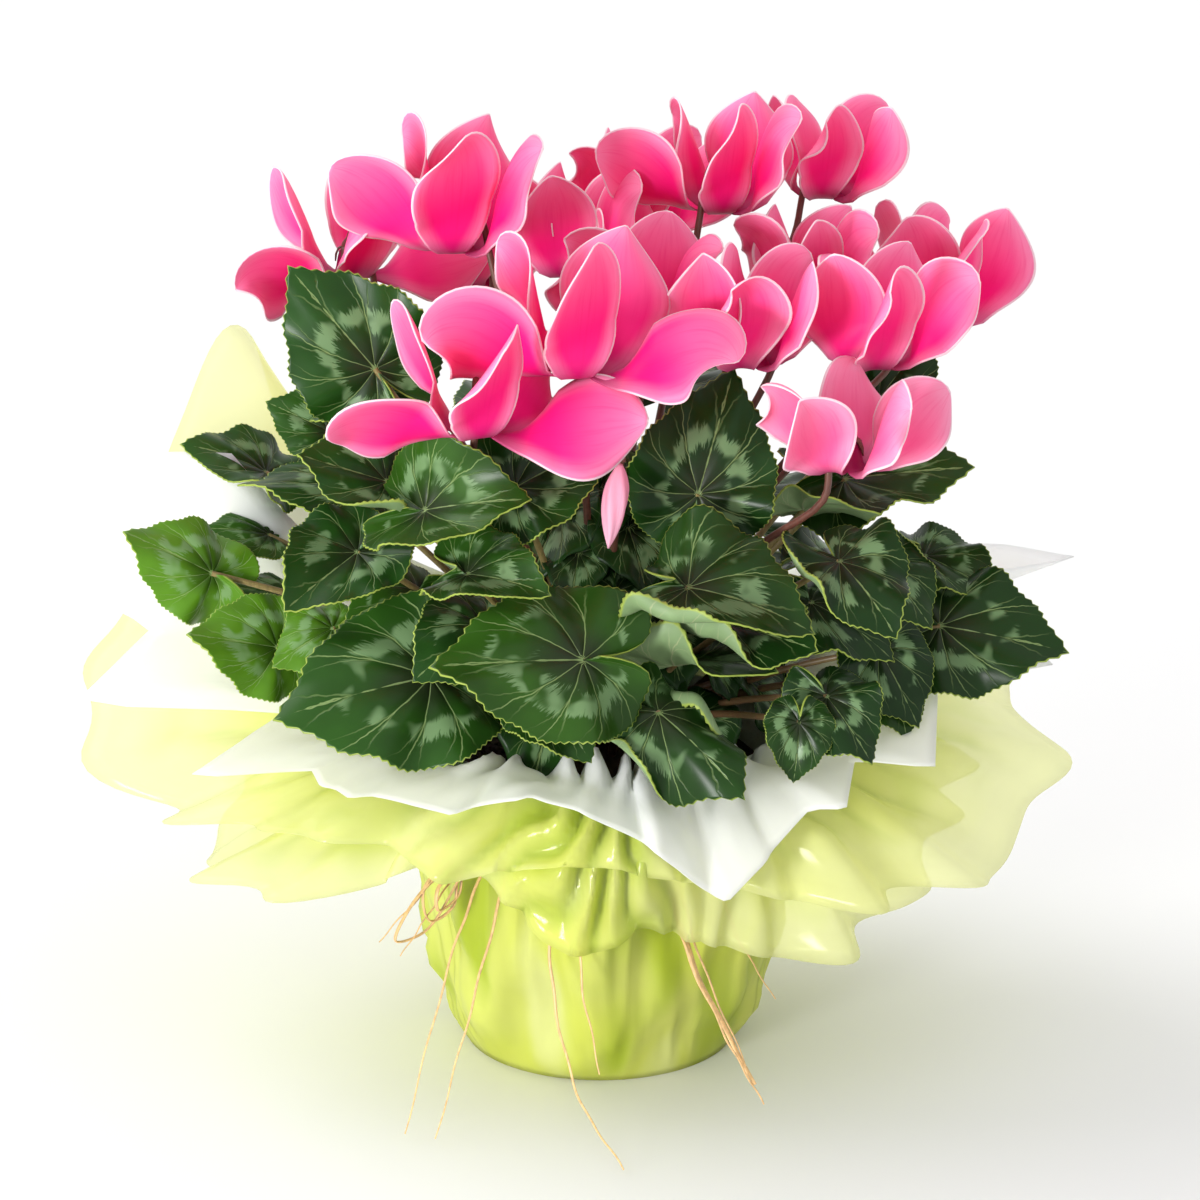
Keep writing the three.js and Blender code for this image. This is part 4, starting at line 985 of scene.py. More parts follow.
def heart(turns):
    """The heart-shaped outline round the stalk, as a share of the distance to the tip."""
    point = 0.34 * np.exp(-((np.abs(turns) / 0.4) ** 1.25))
    notch = 1 - 0.85 * np.exp(-(((np.pi - np.abs(turns)) / 0.2) ** 2))
    return (0.585 + 0.075 * np.cos(turns) + point) * notch


VEIN_TURNS = [0, 33, 68, 106, 148, 190]
BLADE_SHARES = [0.06, 0.14, 0.24, 0.34, 0.44, 0.54, 0.64, 0.73, 0.81, 0.88, 0.935, 0.97, 1.0]


def vein_order(turns, shares):
    """How many veins away from the midrib a point lies. The veins bend forward as they run out."""
    forward = np.degrees(np.abs(turns)) + 17 * shares**2 * np.sin(np.minimum(np.abs(turns), np.pi / 2))
    return np.interp(forward, VEIN_TURNS, range(len(VEIN_TURNS)))


def blade_points(leaf, turns, shares, tooth, quilt, rolls):
    """Points of a leaf blade for matching arrays of turn about the stalk and share of the way out."""
    at, tip, face, (fold, curl, droop, wave) = leaf
    start = np.array(at, dtype=float)
    length = np.linalg.norm(np.array(tip) - start)
    along = unit(np.array(tip) - start)
    up = np.array(face, dtype=float)
    up = unit(up - np.dot(up, along) * along)
    across = np.cross(up, along)
    scallop = 0.022 * np.cos(2 * np.pi * vein_order(turns, shares)) * shares**2
    reach = shares * length * heart(turns) * (1 + tooth * (shares >= 1) + scallop)
    x, y = reach * np.cos(turns), reach * np.sin(turns)
    side = np.abs(y)
    soft = 0.06 * length
    ruffle = wave * length * np.sin(5 * turns + at[0]) * shares**2
    swell = quilt * np.abs(np.sin(np.pi * vein_order(turns, shares)))
    swell *= np.sin(np.pi * np.minimum(shares, 0.97))
    waves = bpy.context.scene.cyclamen_leaves.waves * length * shares**2
    frill = 0.03 * length * np.sin(9 * turns + at[1]) * shares**4
    frill += waves * (np.sin(2 * turns + at[0] + at[1]) + 0.6 * np.sin(3 * turns + 2 * at[2]))
    frill += 0.10 * length * shares**3 * np.exp(-(((np.pi - np.abs(turns)) / 0.6) ** 2))
    rise = math.tan(fold) * (np.hypot(side, soft) - soft) + curl * side * side / (2 * length) + ruffle
    rolled = np.copy(y)
    bow = 0.09 * length
    for sign, roll in zip((1, -1), rolls):
        start_side = (0.5 - 0.24 * roll) * length
        past = np.maximum(0, sign * y - start_side) * (roll > 0) / bow
        rolled -= sign * bow * (past - np.sin(past))
        frill += bow * (1 - np.cos(past))
    drawn = rolled / np.hypot(1, rise / (side + 1))
    rise = rise + swell + frill
    bend = droop * x / length
    ray = length / droop
    forward = (ray - rise) * np.sin(bend)
    lift = ray * (1 - np.cos(bend)) + rise * np.cos(bend)
    return start + forward[:, None] * along + drawn[:, None] * across + lift[:, None] * up


def blade_object(name, leaf, materials, rolls=(0, 0), columns=None, rings=BLADE_SHARES):
    """A leaf blade as a closed thin skin, with maps of its veins and of its flat outline."""
    settings = bpy.context.scene.cyclamen_leaves
    columns = columns or settings.columns
    ring = np.linspace(-np.pi, np.pi, columns, endpoint=False)
    turns = np.concatenate([[0.0], np.tile(ring, len(rings))])
    shares = np.concatenate([[0.0], np.repeat(rings, columns)])
    teeth = np.where(np.arange(columns) % 2 == 0, 1.0, -1.0) * settings.tooth
    tooth = np.concatenate([[0.0], np.tile(teeth, len(rings))])
    points = blade_points(leaf, turns, shares, tooth, settings.quilt, rolls)
    at = lambda row, i: 1 + row * columns + i % columns
    faces = [(0, at(0, i), at(0, i + 1)) for i in range(columns)]
    for row in range(len(rings) - 1):
        faces += [(at(row, i), at(row + 1, i), at(row + 1, i + 1), at(row, i + 1)) for i in range(columns)]
    outline = shares * heart(turns)
    flat = np.stack([outline * np.cos(turns), outline * np.sin(turns)], axis=1)
    veins = np.stack([vein_order(turns, shares), shares], axis=1)
    both, all_faces, sides = closed_skin(points, faces, LEAF["thick"])
    maps = {"flat": np.vstack([flat, flat]), "veins": np.vstack([veins, veins])}
    return mesh_object(name, both, all_faces, materials, corner_maps=maps, face_materials=sides)


def stem_gap(flower):
    """The petal after which the stem passes: the gap that looks most towards the plant's axis."""
    at, _, first, _ = flower
    inward = math.degrees(math.atan2(-at[1], -at[0]))
    step = 360 / PETALS
    return int(math.floor((inward - first) / step) + 2 * PETALS) % PETALS


def petal_turn(flower, index):
    """The way that a petal faces. The two beside the stem are opened a little to let it pass."""
    after = (index - stem_gap(flower) + PETALS) % PETALS
    shift = {0: -FLOWER["opening"], 1: FLOWER["opening"]}.get(after, 0)
    return math.radians(flower[2] + 360 / PETALS * index + shift)


def gap_turn(flower, index):
    """The turn halfway between a petal and the next."""
    here = petal_turn(flower, index)
    ahead = petal_turn(flower, (index + 1) % PETALS) - here
    return here + 0.5 * (ahead + FULL_TURN if ahead < 0 else ahead)


def petal_habit(flower, index):
    """How a petal differs from the next: how blunt its tip is and how it rolls, its cup, and its waves."""
    at = flower[0]
    first, second = math.sin(2.4 * index + at[0]), math.sin(1.7 * index + 0.6 * at[1])
    return 0.74 + 0.18 * second, 2.8 + 3.4 * first, 0.30 + 0.26 * second, 2.6 + 0.9 * first


def petal_width(u, blunt):
    """Half a petal's width as a share of its length: a narrow claw and a broad, softly pointed blade."""
    arch = np.maximum(np.sin(np.pi * np.minimum(u, 1.0) ** 1.25), 0)
    return 0.06 * (1 - u) ** 2 + 0.345 * np.where(u < 0.574, arch**0.95, arch**blunt)


def petal_points(flower, index, u, v):
    """Points of a petal for matching arrays of share along it and place across it, from -1 to 1."""
    at, size, _, leans = flower
    blunt, roll, cup, wave = petal_habit(flower, index)
    turn = petal_turn(flower, index)
    out = np.array([math.cos(turn), math.sin(turn), 0.0])
    side = np.array([-math.sin(turn), math.cos(turn), 0.0])
    top = np.array([0, 0, 1.0])
    lean = math.radians(leans[index])
    fine = np.linspace(0, 1, 101)
    angles = lean + (2 - lean) * np.maximum(0, 1 - fine / 0.22) ** 1.5 + 0.4 * (fine - 0.4)
    angles = angles + roll * np.maximum(0, fine - 0.5) ** 2
    step = size / 100
    outward = np.concatenate([[0], np.cumsum(np.sin(angles[:-1]) * step)])
    upward = np.concatenate([[0], np.cumsum(np.cos(angles[:-1]) * step)])
    angle = np.interp(u, fine, angles)
    heading = np.cos(angle)[:, None] * top + np.sin(angle)[:, None] * out
    square = np.cross(heading, side)
    turned = 0.5 + 0.45 * math.sin(1.3 * index + at[1])
    twist = (0.75 * np.minimum(1, 2.5 * u) + turned * u * u)[:, None]
    cross = np.cos(twist) * side + np.sin(twist) * square
    normal = np.cross(cross, heading)
    half = petal_width(u, blunt) * size
    spine = np.array(at) + FLOWER["throat"] * out
    spine = spine + np.interp(u, fine, outward)[:, None] * out + np.interp(u, fine, upward)[:, None] * top
    spine = spine + (0.1 * size * u * u)[:, None] * side
    fullness = petal_width(u, blunt) / 0.345
    ruffle = wave * np.sin(8 * u + 2.2 * np.sign(v) + index + at[0]) * np.abs(v) ** 3 * u * fullness
    lift = cup * half * v * v + ruffle + 1.2 * np.cos(np.pi * v) * u * (1 - u)
    petal = spine + (half * v)[:, None] * cross + lift[:, None] * normal
    before = gap_turn(flower, (index - 1) % PETALS)
    after = gap_turn(flower, index)
    before -= FULL_TURN * round((before - turn) / FULL_TURN)
    after -= FULL_TURN * round((after - turn) / FULL_TURN)
    around = turn + np.where(v < 0, -v * (before - turn), v * (after - turn))
    mouth = np.stack([np.cos(around), np.sin(around), np.zeros_like(v)], axis=1)
    mouth = mouth * FLOWER["throat"] + np.array(at)
    blend = np.clip(u / 0.17, 0, 1)
    blend = (blend * blend * (3 - 2 * blend))[:, None]
    return mouth * (1 - blend) + petal * blend


def corolla_object(name, flower, material):
    """A corolla as one thin skin: cap, tube down to the mouth, and the petals that grow out of its edge."""
    settings = bpy.context.scene.cyclamen_flowers
    rows, columns = settings.rows, settings.columns
    ring = PETALS * columns
    across = np.linspace(-1, 1, columns + 1)
    centre = np.array(flower[0], dtype=float)
    mouths = [petal_points(flower, i, np.zeros(columns), across[:-1]) for i in range(PETALS)]
    mouth = np.vstack(mouths) - centre
    points = [centre + (0, 0, FLOWER["tube"])]
    tube = [(0.35, FLOWER["tube"] - 0.1), (0.6, FLOWER["tube"] - 0.7), (0.7, 6.2), (0.78, 3.4)]
    tube += [(0.88, 1.2), (1, 0)]
    for share, height in tube:
        points += list(centre + mouth * share + np.array([0, 0, height]))
    at = lambda row, i: 1 + row * ring + i % ring
    faces = [(0, at(0, i), at(0, i + 1)) for i in range(ring)]
    for row in range(len(tube) - 1):
        faces += [(at(row, i), at(row + 1, i), at(row + 1, i + 1), at(row, i + 1)) for i in range(ring)]
    maps = [(0.0, 0.0)] * len(points)
    rims = [20.0] * len(points)
    shares = np.linspace(0, 1, rows + 1)[1:] ** 0.85
    for index in range(PETALS):
        last = [at(len(tube) - 1, index * columns + i) for i in range(columns + 1)]
        for share in shares:
            u = np.full(columns + 1, min(share, 0.997))
            start = len(points)
            points += list(petal_points(flower, index, u, across))
            maps += [(share, 0.5 * v + 0.5 + index) for v in across]
            inside = (1 - np.abs(across)) * petal_width(u, petal_habit(flower, index)[0]) * flower[1]
            rims += list(np.minimum(inside, (1.001 - share) * flower[1]))
            here = list(range(start, start + columns + 1))
            faces += [(last[i], here[i], here[i + 1], last[i + 1]) for i in range(columns)]
            last = here
    both, all_faces, _ = closed_skin(np.array(points), faces, FLOWER["thick"])
    doubled = np.array(maps + maps)
    return mesh_object(
        name, both, all_faces, [material], corner_maps={"petal": doubled}, point_values={"rim": rims + rims}
    )


def stem_path(flower, foot):
    """The stem rises beside the flower, passes between two petals and hooks over into the calyx."""
    turn = gap_turn(flower, stem_gap(flower))
    out = np.array([math.cos(turn), math.sin(turn), 0.0])
    centre = np.array(flower[0], dtype=float)
    tube = FLOWER["tube"]
    beside = lambda reach, height: centre + reach * out + np.array([0, 0, height])
    rise = stalk_points(foot, beside(FLOWER["hook"] + 3, -14), 10)
    hook = [(FLOWER["hook"], -1), (FLOWER["hook"] - 2, 9), (5.2, tube + 8), (1.2, tube + 7.2)]
    hook.append((0, tube + 0.6))
    return smooth_path(rise[::2] + [beside(*place) for place in hook], 4)


def bud_stem_path(foot):
    """The stem rises behind the bud and hooks over into its calyx from above."""
    x, y, z = BUD["at"]
    rise = stalk_points(foot, (x, y + 14, z - 8), 8)
    return smooth_path(rise[::2] + [(x, y + 8, z + 5), (x, y + 2, z + 7), (x, y, z + 0.6)], 4)


def stem_girths(path, calyx):
    """A stem's thickness: stout at the foot, slim above, and flared into the calyx at its end."""
    count = len(path)
    girths = [FLOWER["stem"] * (1.2 - 0.35 * i / count) for i in range(count)]
    girths[-3:] = [0.45 * calyx, 0.85 * calyx, calyx]
    return girths


def sepals(flower, material, name):
    """Five short pointed lobes that hug the top of the corolla."""
    points, faces = [], []
    centre = np.array(flower[0], dtype=float) + (0, 0, FLOWER["tube"])
    for lobe in range(PETALS):
        turn = gap_turn(flower, lobe)
        out = np.array([math.cos(turn), math.sin(turn), 0.0])
        side = np.array([-math.sin(turn), math.cos(turn), 0.0])
        start = len(points)
        for reach, height, half in ((2.2, 1.3, 1.5), (3.9, 0.5, 1.5), (4.9, -1.8, 1.0)):
            points += [centre + out * reach + (0, 0, height) + side * half * sign for sign in (-1, 0, 1)]
            points[-2] = points[-2] + 0.3 * out
        points.append(centre + out * 5.3 + (0, 0, -4.4))
        for row in (0, 3):
            for corner in (start + row, start + row + 1):
                faces.append((corner, corner + 3, corner + 4, corner + 1))
        faces += [(start + 6, start + 9, start + 7), (start + 7, start + 9, start + 8)]
    both, all_faces, _ = closed_skin(np.array(points), faces, 0.5)
    return mesh_object(name, both, all_faces, [material])


# The wrapping sheets.

# The bag below the tie: place along the sheet, radius beyond the foot's, and height.
BAG = [(0.2, 5.5, 10), (0.5, 9.5, 24), (1.0, 13.8, 45), (1.5, 17.8, 69)]
PLACES = [0, *[place for place, _, _ in BAG], 2, 3, 4, 5]
FINE_STATIONS = 7
LOW_STATIONS = 3
# Room between the pot and the sheet next to it, and how far above and below the rim that room eases off.
POT_CLEARANCE = 0.6
RIM_EASE = 8
# Amounts of pleat and of crease at places along a sheet, which run from the base (0) by the tie (2) and the
# lip (3) to the free edge (5).
PLEAT_PLACES = [0, 0.3, 1, 1.7, 2, 2.6, 3, 3.4, 4, 4.5, 5]
PLEAT_AMOUNTS = [0, 0.05, 0.06, 0.12, 0.2, 0.4, 0.9, 1.0, 0.5, 0.2, 0.06]
CREASE_AMOUNTS = [0, 1.4, 1.7, 1.2, 0.3, 0.4, 0.6, 0.7, 0.6, 0.4, 0.2]
# What the films' pleats gain at the front, so that they stay under the white sheet at the lip.
FRONT_PLACES = [2, 2.6, 3.4, 3.8, 4.5, 5]
FRONT_AMOUNTS = [0, -0.2, -0.55, 0.1, 0.8, 0.75]
# How many columns a sheet's corners are rounded over.
SOFT_FILM = 12
SOFT_PAPER = 3


def straight_between(turns, keys, soft, radii, heights):
    """Radius and height at each turn, on lines between corners at the keys, rounded over soft columns."""
    after = np.clip(np.searchsorted(keys, turns, side="right"), 1, len(keys) - 1)
    low, high = np.radians(keys[after - 1]), np.radians(keys[after])
    turns = np.radians(turns)
    near = radii[after] * np.sin(turns - low)
    far = radii[after - 1] * np.sin(high - turns)
    whole = near + far
    share = near / whole
    radius = radii[after - 1] * radii[after] * np.sin(high - low) / whole
    height = heights[after - 1] * (1 - share) + heights[after] * share
    weights = np.hanning(soft + 2)[1:-1]
    rounded = []
    for row in (radius, height):
        around = np.concatenate([row[-soft:], row, row[:soft]])
        rounded.append(np.convolve(around, weights / weights.sum(), "same")[soft:-soft])
    return rounded


def sheet_stations(rays, depth, turns, soft):
    """Rows of (radius, height) from the base to the free edge, with one column for each turn."""
    rays = np.array([*rays, (rays[0][0] + 360, *rays[0][1:])], dtype=float)
    length, rise, bow = rays[:, 1], np.radians(rays[:, 2]), np.radians(rays[:, 3])
    angle = np.radians(turns)
    pleat = 1.6 * np.cos(7 * angle) + 1.1 * np.cos(11 * angle + 1)
    same = np.ones_like(turns)
    lip = (SHEET["lip"] - depth, SHEET["lip_height"] + 2 * depth)
    middle = (lip[0] + 0.5 * length * np.cos(rise + bow), lip[1] + 0.5 * length * np.sin(rise + bow))
    edge = (lip[0] + length * np.cos(rise), lip[1] + length * np.sin(rise))
    foot = SHEET["foot"]
    bag = [[foot + further + min(place, 1) * pleat - depth, height * same] for place, further, height in BAG]
    return np.array(
        [
            [(foot - depth) * same, (SHEET["thick"] / 2 + depth) * same],
            *bag,
            [(SHEET["tie"] - depth) * same, SHEET["tie_height"] * same],
            [lip[0] * same, lip[1] * same],
            straight_between(turns, rays[:, 0], soft, *middle),
            straight_between(turns, rays[:, 0], soft, *edge),
        ]
    )


def clear_of_pot(points, layer):
    """Points of a sheet, with any that a pleat has pushed into the pot moved back out to lie against it."""
    top = POT["z"] + POT["height"]
    collar = top - POT["rim_height"]
    heights = [POT["z"], collar - RIM_EASE, collar, top, top + RIM_EASE]
    side = [POT["base"], POT["body"], POT["rim"], POT["rim"], POT["body"]]
    reach = np.hypot(points[:, 0], points[:, 1])
    layers_within = len(SHEETS) - 1 - layer
    least = np.interp(points[:, 2], heights, side) + POT_CLEARANCE + layers_within * SHEET["pitch"]
    beyond = reach - least
    eased = least + 0.5 * (beyond + np.hypot(beyond, 1.0))
    beside_pot = (points[:, 2] > heights[0]) & (points[:, 2] < heights[-1])
    eased = np.where(beside_pot, eased, reach)
    share = eased / np.maximum(reach, 1e-6)
    return points * np.stack([share, share, np.ones_like(share)], axis=1)


def sheet_object(name, rays, layer, soft, material):
    """A gathered sheet as a closed thin skin, pleated by its geometry tree."""
    settings = bpy.context.scene.cyclamen_wrap
    columns = settings.columns
    turns = np.linspace(-180, 180, columns, endpoint=False)
    depth = layer * SHEET["pitch"]
    stations = sheet_stations(rays, depth, turns, soft)
    before = 2 * stations[:1] - stations[1:2]
    after = 2 * stations[-1:] - stations[-2:-1]
    padded = np.concatenate([before, stations, after])
    rows = [(0.0, np.array([stations[0][0] * share, stations[0][1]])) for share in (0.2, 0.45, 0.7, 0.88)]
    for k in range(len(stations) - 1):
        a, b, c, d = padded[k : k + 4]
        steps = LOW_STATIONS if PLACES[k] < 2 else FINE_STATIONS
        for step in range(steps):
            t = step / steps
            curve = 2 * b + (c - a) * t + (2 * a - 5 * b + 4 * c - d) * t**2 + (3 * b - a - 3 * c + d) * t**3
            rows.append((PLACES[k] + (PLACES[k + 1] - PLACES[k]) * t, 0.5 * curve))
    rows.append((PLACES[-1], stations[-1]))
    angle = np.radians(turns)
    points = [np.array([[0.0, 0.0, SHEET["thick"] / 2 + depth]])]
    for _, (radius, height) in rows:
        points.append(np.stack([radius * np.sin(angle), -radius * np.cos(angle), height], axis=1))
    points = np.vstack(points)
    at = lambda row, i: 1 + row * columns + i % columns
    faces = [(0, at(0, i), at(0, i + 1)) for i in range(columns)]
    for row in range(len(rows) - 1):
        faces += [(at(row, i), at(row + 1, i), at(row + 1, i + 1), at(row, i + 1)) for i in range(columns)]
    along = np.concatenate([[0.0], np.repeat([place for place, _ in rows], columns)])
    values = {
        "turn": np.concatenate([[0.0], np.tile(angle, len(rows))]),
        "along": along,
        "amount": np.interp(along, PLEAT_PLACES, PLEAT_AMOUNTS),
        "creased": np.interp(along, PLEAT_PLACES, CREASE_AMOUNTS),
    }
    front = np.exp(-(((np.degrees(values["turn"]) + 8) / 30) ** 2))
    if layer < 2:
        values["amount"] += front * np.interp(along, FRONT_PLACES, FRONT_AMOUNTS)
    else:
        values["amount"] *= 1 - 0.7 * np.clip((along - 3.3) / 0.7, 0, 1)
    # Spread makes a sheet clearer out on its free lobes and, as painted light, paler there.
    spread = np.clip((along - 3.2) / 1.5, 0, 1) * (1 - 0.8 * front)
    skin = mesh_object(name + "_flat", points, faces, [material], point_values=values)
    way = skin.data.attributes.new("way", "FLOAT_VECTOR", "POINT")
    way.data.foreach_set("vector", vertex_normals(points, faces).astype(np.float32).ravel())
    inputs = {
        "Pleats": float(settings.pleats),
        "Depth": settings.depth,
        "Crumple": settings.crumple,
        "Seed": 4.0,
        "Material": material,
    }
    pleated = through_tree(skin, TREES["pleats"], inputs, name + "_pleated")
    moved = np.empty(3 * len(points))
    pleated.data.vertices.foreach_get("co", moved)
    fold = np.empty(len(points))
    pleated.data.attributes["fold"].data.foreach_get("value", fold)
    # The fold values set the painted shade of the folds: less of it on the bag below the tie, more at the
    # front round the lip and out on the lobes.
    fold += np.interp(along, [1.5, 2.2], [0.24, 0])
    fold *= 1 - 0.85 * front * np.interp(along, [2.6, 3.4, 4.4, 5], [0, 1, 0.8, 0.3])
    bpy.data.objects.remove(pleated)
    moved = clear_of_pot(moved.reshape(-1, 3) / MM, layer)
    both, all_faces, _ = closed_skin(moved, faces, SHEET["thick"])
    values = {"fold": np.concatenate([fold, fold]), "spread": np.concatenate([spread, spread])}
    return mesh_object(name, both, all_faces, [material], point_values=values)


def turned_object(name, profile, material, segments=96, rough=0.0):
    """A profile of (radius, height) turned about the upright axis, its first and last points on the axis."""
    points = [(0.0, 0.0, profile[0][1])]
    angle = np.linspace(0, FULL_TURN, segments, endpoint=False)
    noise = np.random.default_rng(5)
    for radius, height in profile[1:-1]:
        lift = rough * noise.standard_normal(segments)
        points += list(np.stack([radius * np.cos(angle), radius * np.sin(angle), height + lift], axis=1))
    points.append((0.0, 0.0, profile[-1][1]))
    rings = len(profile) - 2
    at = lambda row, i: 1 + row * segments + i % segments
    last = len(points) - 1
    faces = [(0, at(0, i + 1), at(0, i)) for i in range(segments)]
    for row in range(rings - 1):
        faces += [(at(row, i), at(row, i + 1), at(row + 1, i + 1), at(row + 1, i)) for i in range(segments)]
    faces += [(last, at(rings - 1, i), at(rings - 1, i + 1)) for i in range(segments)]
    return mesh_object(name, points, faces, [material])


# Operators.

PLAN = {}
TREES = {}


def lay_out():
    """Finds where each stalk and stem stands on the crown, in the order of the solids."""
    by_turn = sorted(FLOWERS.items(), key=lambda item: math.atan2(item[1][0][1], item[1][0][0]))
    groups = []
    for start in range(0, len(by_turn), STEMS_PER_GROUP):
        held = [flower for _, flower in by_turn[start : start + STEMS_PER_GROUP]]
        groups.append(("stems_%d" % (1 + start // STEMS_PER_GROUP), [flower[0] for flower in held], held))
    groups.append(("stem_bud", [BUD["at"]], None))
    for name, leaves in {**LEAVES, **back_leaves()}.items():
        groups.append((name, [leaf[0] for leaf in leaves], leaves))
    places = crown_places([targets for _, targets, _ in groups])
    for (name, targets, things), place in zip(groups, places):
        PLAN[name] = (things, group_feet(place, targets))


class PlantOperator:
    """Shared by the operators: they work in object mode and can be undone."""

    bl_options = {"REGISTER", "UNDO"}


class CYCLAMEN_OT_pot(PlantOperator, bpy.types.Operator):
    """Build the nursery pot, the soil with its crumbs, and the tuber"""

    bl_idname = "cyclamen.pot"
    bl_label = "Pot, soil and tuber"

    def execute(self, context):
        settings = context.scene.cyclamen_pot
        top = POT["z"] + POT["height"]
        collar = top - POT["rim_height"]
        wall = POT["wall"]
        plastic = grain_material(
            "Pot plastic", tuple(settings.plastic), [0.9 * value for value in settings.plastic], 300.0, 0.45
        )
        base, body, rim = POT["base"], POT["body"], POT["rim"]
        floor = POT["z"] + POT["floor"]
        outside = [(0, POT["z"]), (base - 1, POT["z"]), (base, POT["z"] + 1), (body, collar)]
        lip = [(rim - 0.4, collar), (rim, collar + 0.4), (rim, top - 0.6), (rim - 0.6, top)]
        lip += [(rim - wall + 0.4, top), (rim - wall, top - 0.4), (rim - wall, collar + wall)]
        profile = [*outside, *lip, (body - wall, collar), (base - wall, floor), (0, floor)]
        pot = turned_object("nursery_pot", profile, plastic)
        finished(pot, "pot", "pot")

        soil_look = grain_material("Potting soil", *SOIL_TONES, 260.0, 0.95)
        low = floor + SOIL["gap"]
        slope = (body - base) / (POT["height"] - POT["rim_height"])
        inside = lambda z: base - wall - 2 * SOIL["gap"] + slope * (z - POT["z"])
        edge = SOIL["top"] - 6
        profile = [(0, low), (inside(low), low), (inside(edge), edge), (inside(edge) - 3, edge + 2.5)]
        profile += [(radius, SOIL["top"] - 0.9) for radius in (50, 44, 38, 33, 29)]
        profile += [(24, SOIL["top"] - 2), (0, SOIL["top"] - 4)]
        bed = turned_object("potting_soil", profile, soil_look, rough=0.35)
        cover = [(29.5, SOIL["top"] - 0.6), (52, SOIL["top"] - 1.2)]
        around = 48
        angle = np.linspace(0, FULL_TURN, around, endpoint=False)
        rings = [np.stack([r * np.cos(angle), r * np.sin(angle), 0 * angle + z], axis=1) for r, z in cover]
        faces = [(i, around + i, around + (i + 1) % around, (i + 1) % around) for i in range(around)]
        source = mesh_object("soil_cover", np.vstack(rings), faces, [soil_look])
        values = {"Crumbs": settings.crumbs, "Size": settings.crumb, "Seed": 7, "Material": soil_look}
        crumbs = through_tree(source, TREES["crumbs"], values, "soil_crumbs")
        finished(joined("potting_soil", [bed, crumbs]), "soil", "soil")

        bark = grain_material("Tuber bark", *BARK_TONES, 120.0, 0.85)
        profile = []
        for angle in np.radians(np.linspace(-90, 90, 25)):
            height = TUBER["z"] + TUBER["half_height"] * math.sin(angle)
            profile.append((TUBER["radius"] * math.cos(angle), height))
        tuber = turned_object("tuber_crown", profile, bark, segments=64, rough=0.25)
        finished(tuber, "tuber", "tuber")
        return {"FINISHED"}


class CYCLAMEN_OT_leaves(PlantOperator, bpy.types.Operator):
    """Build the leaves, each with its blade and stalk"""

    bl_idname = "cyclamen.leaves"
    bl_label = "Leaves"

    def execute(self, context):
        under = under_leaf_material()
        looks = [
            leaf_material("Leaf %d" % (1 + i), (1.7 * i, 0.9 * i, 0.0), young)
            for i, young in enumerate((0.0, 0.08, 0.0, 0.16, 0.05, 0.8))
        ]
        stalk = stalk_material("Leaf stalk", *STALK_TONES, 0.12, 0.20)
        count = 0
        for name in {**LEAVES, **back_leaves()}:
            leaves, feet = PLAN[name]
            parts = []
            for leaf, rolls in zip(leaves, ROLLED.get(name, [(0, 0)] * len(leaves))):
                look = looks[5] if name in YOUNG else looks[count % 5]
                at, tip, face, bend = leaf
                tip = np.array(at) + YOUNG.get(name, 1) * (np.array(tip) - at)
                parts.append(blade_object(name, (at, tip, face, bend), [look, under], rolls))
                count += 1
            paths = []
            for leaf, foot in zip(leaves, feet):
                path = stalk_points(foot, leaf[0], 24)
                paths.append((path, np.linspace(1.25, 0.75, len(path)) * LEAF["stalk"]))
            parts.append(rods(name + "_stalks", paths, stalk, sides=10))
            finished(joined(name + "_look", parts), "leaf", name)
        return {"FINISHED"}


class CYCLAMEN_OT_inner_leaves(PlantOperator, bpy.types.Operator):
    """Build the small shaded leaves that fill the inside of the plant"""

    bl_idname = "cyclamen.inner_leaves"
    bl_label = "Inner leaves"

    def execute(self, context):
        under = bpy.data.materials["Leaf underside"]
        look = leaf_material("Shaded leaf", (4.1, 2.3, 0.0), 0.0)
        parts, paths = [], []
        for i in range(INNER["count"]):
            turn = math.radians(INNER["turn"] * i)
            share = (i + 0.5) / INNER["count"]
            out = np.array([math.sin(turn), -math.cos(turn), 0.0])
            up = np.array([0.0, 0.0, 1.0])
            reach = INNER["near"] + (INNER["far"] - INNER["near"]) * share**0.6
            at = out * reach + up * (INNER["high"] + (INNER["low"] - INNER["high"]) * share)
            length = INNER["length"] * (0.85 + 0.25 * math.sin(2.7 * i))
            tip = at + length * (0.55 * out - 0.45 * up)
            leaf = (at, tip, out + 0.6 * up, (0.25, -0.3, -0.35, 0.06))
            blade = blade_object("inner_leaf", leaf, [look, under], columns=72, rings=BLADE_SHARES[1::2])
            parts.append(blade)
            path = stalk_points(0.45 * at[:2] * TUBER["radius"] / 60, at, 16)
            paths.append((path, [LEAF["stalk"]] * len(path)))
        parts.append(rods("inner_stalks", paths, bpy.data.materials["Leaf stalk"], sides=8))
        finished(joined("inner_leaves", parts), "leaf")
        return {"FINISHED"}


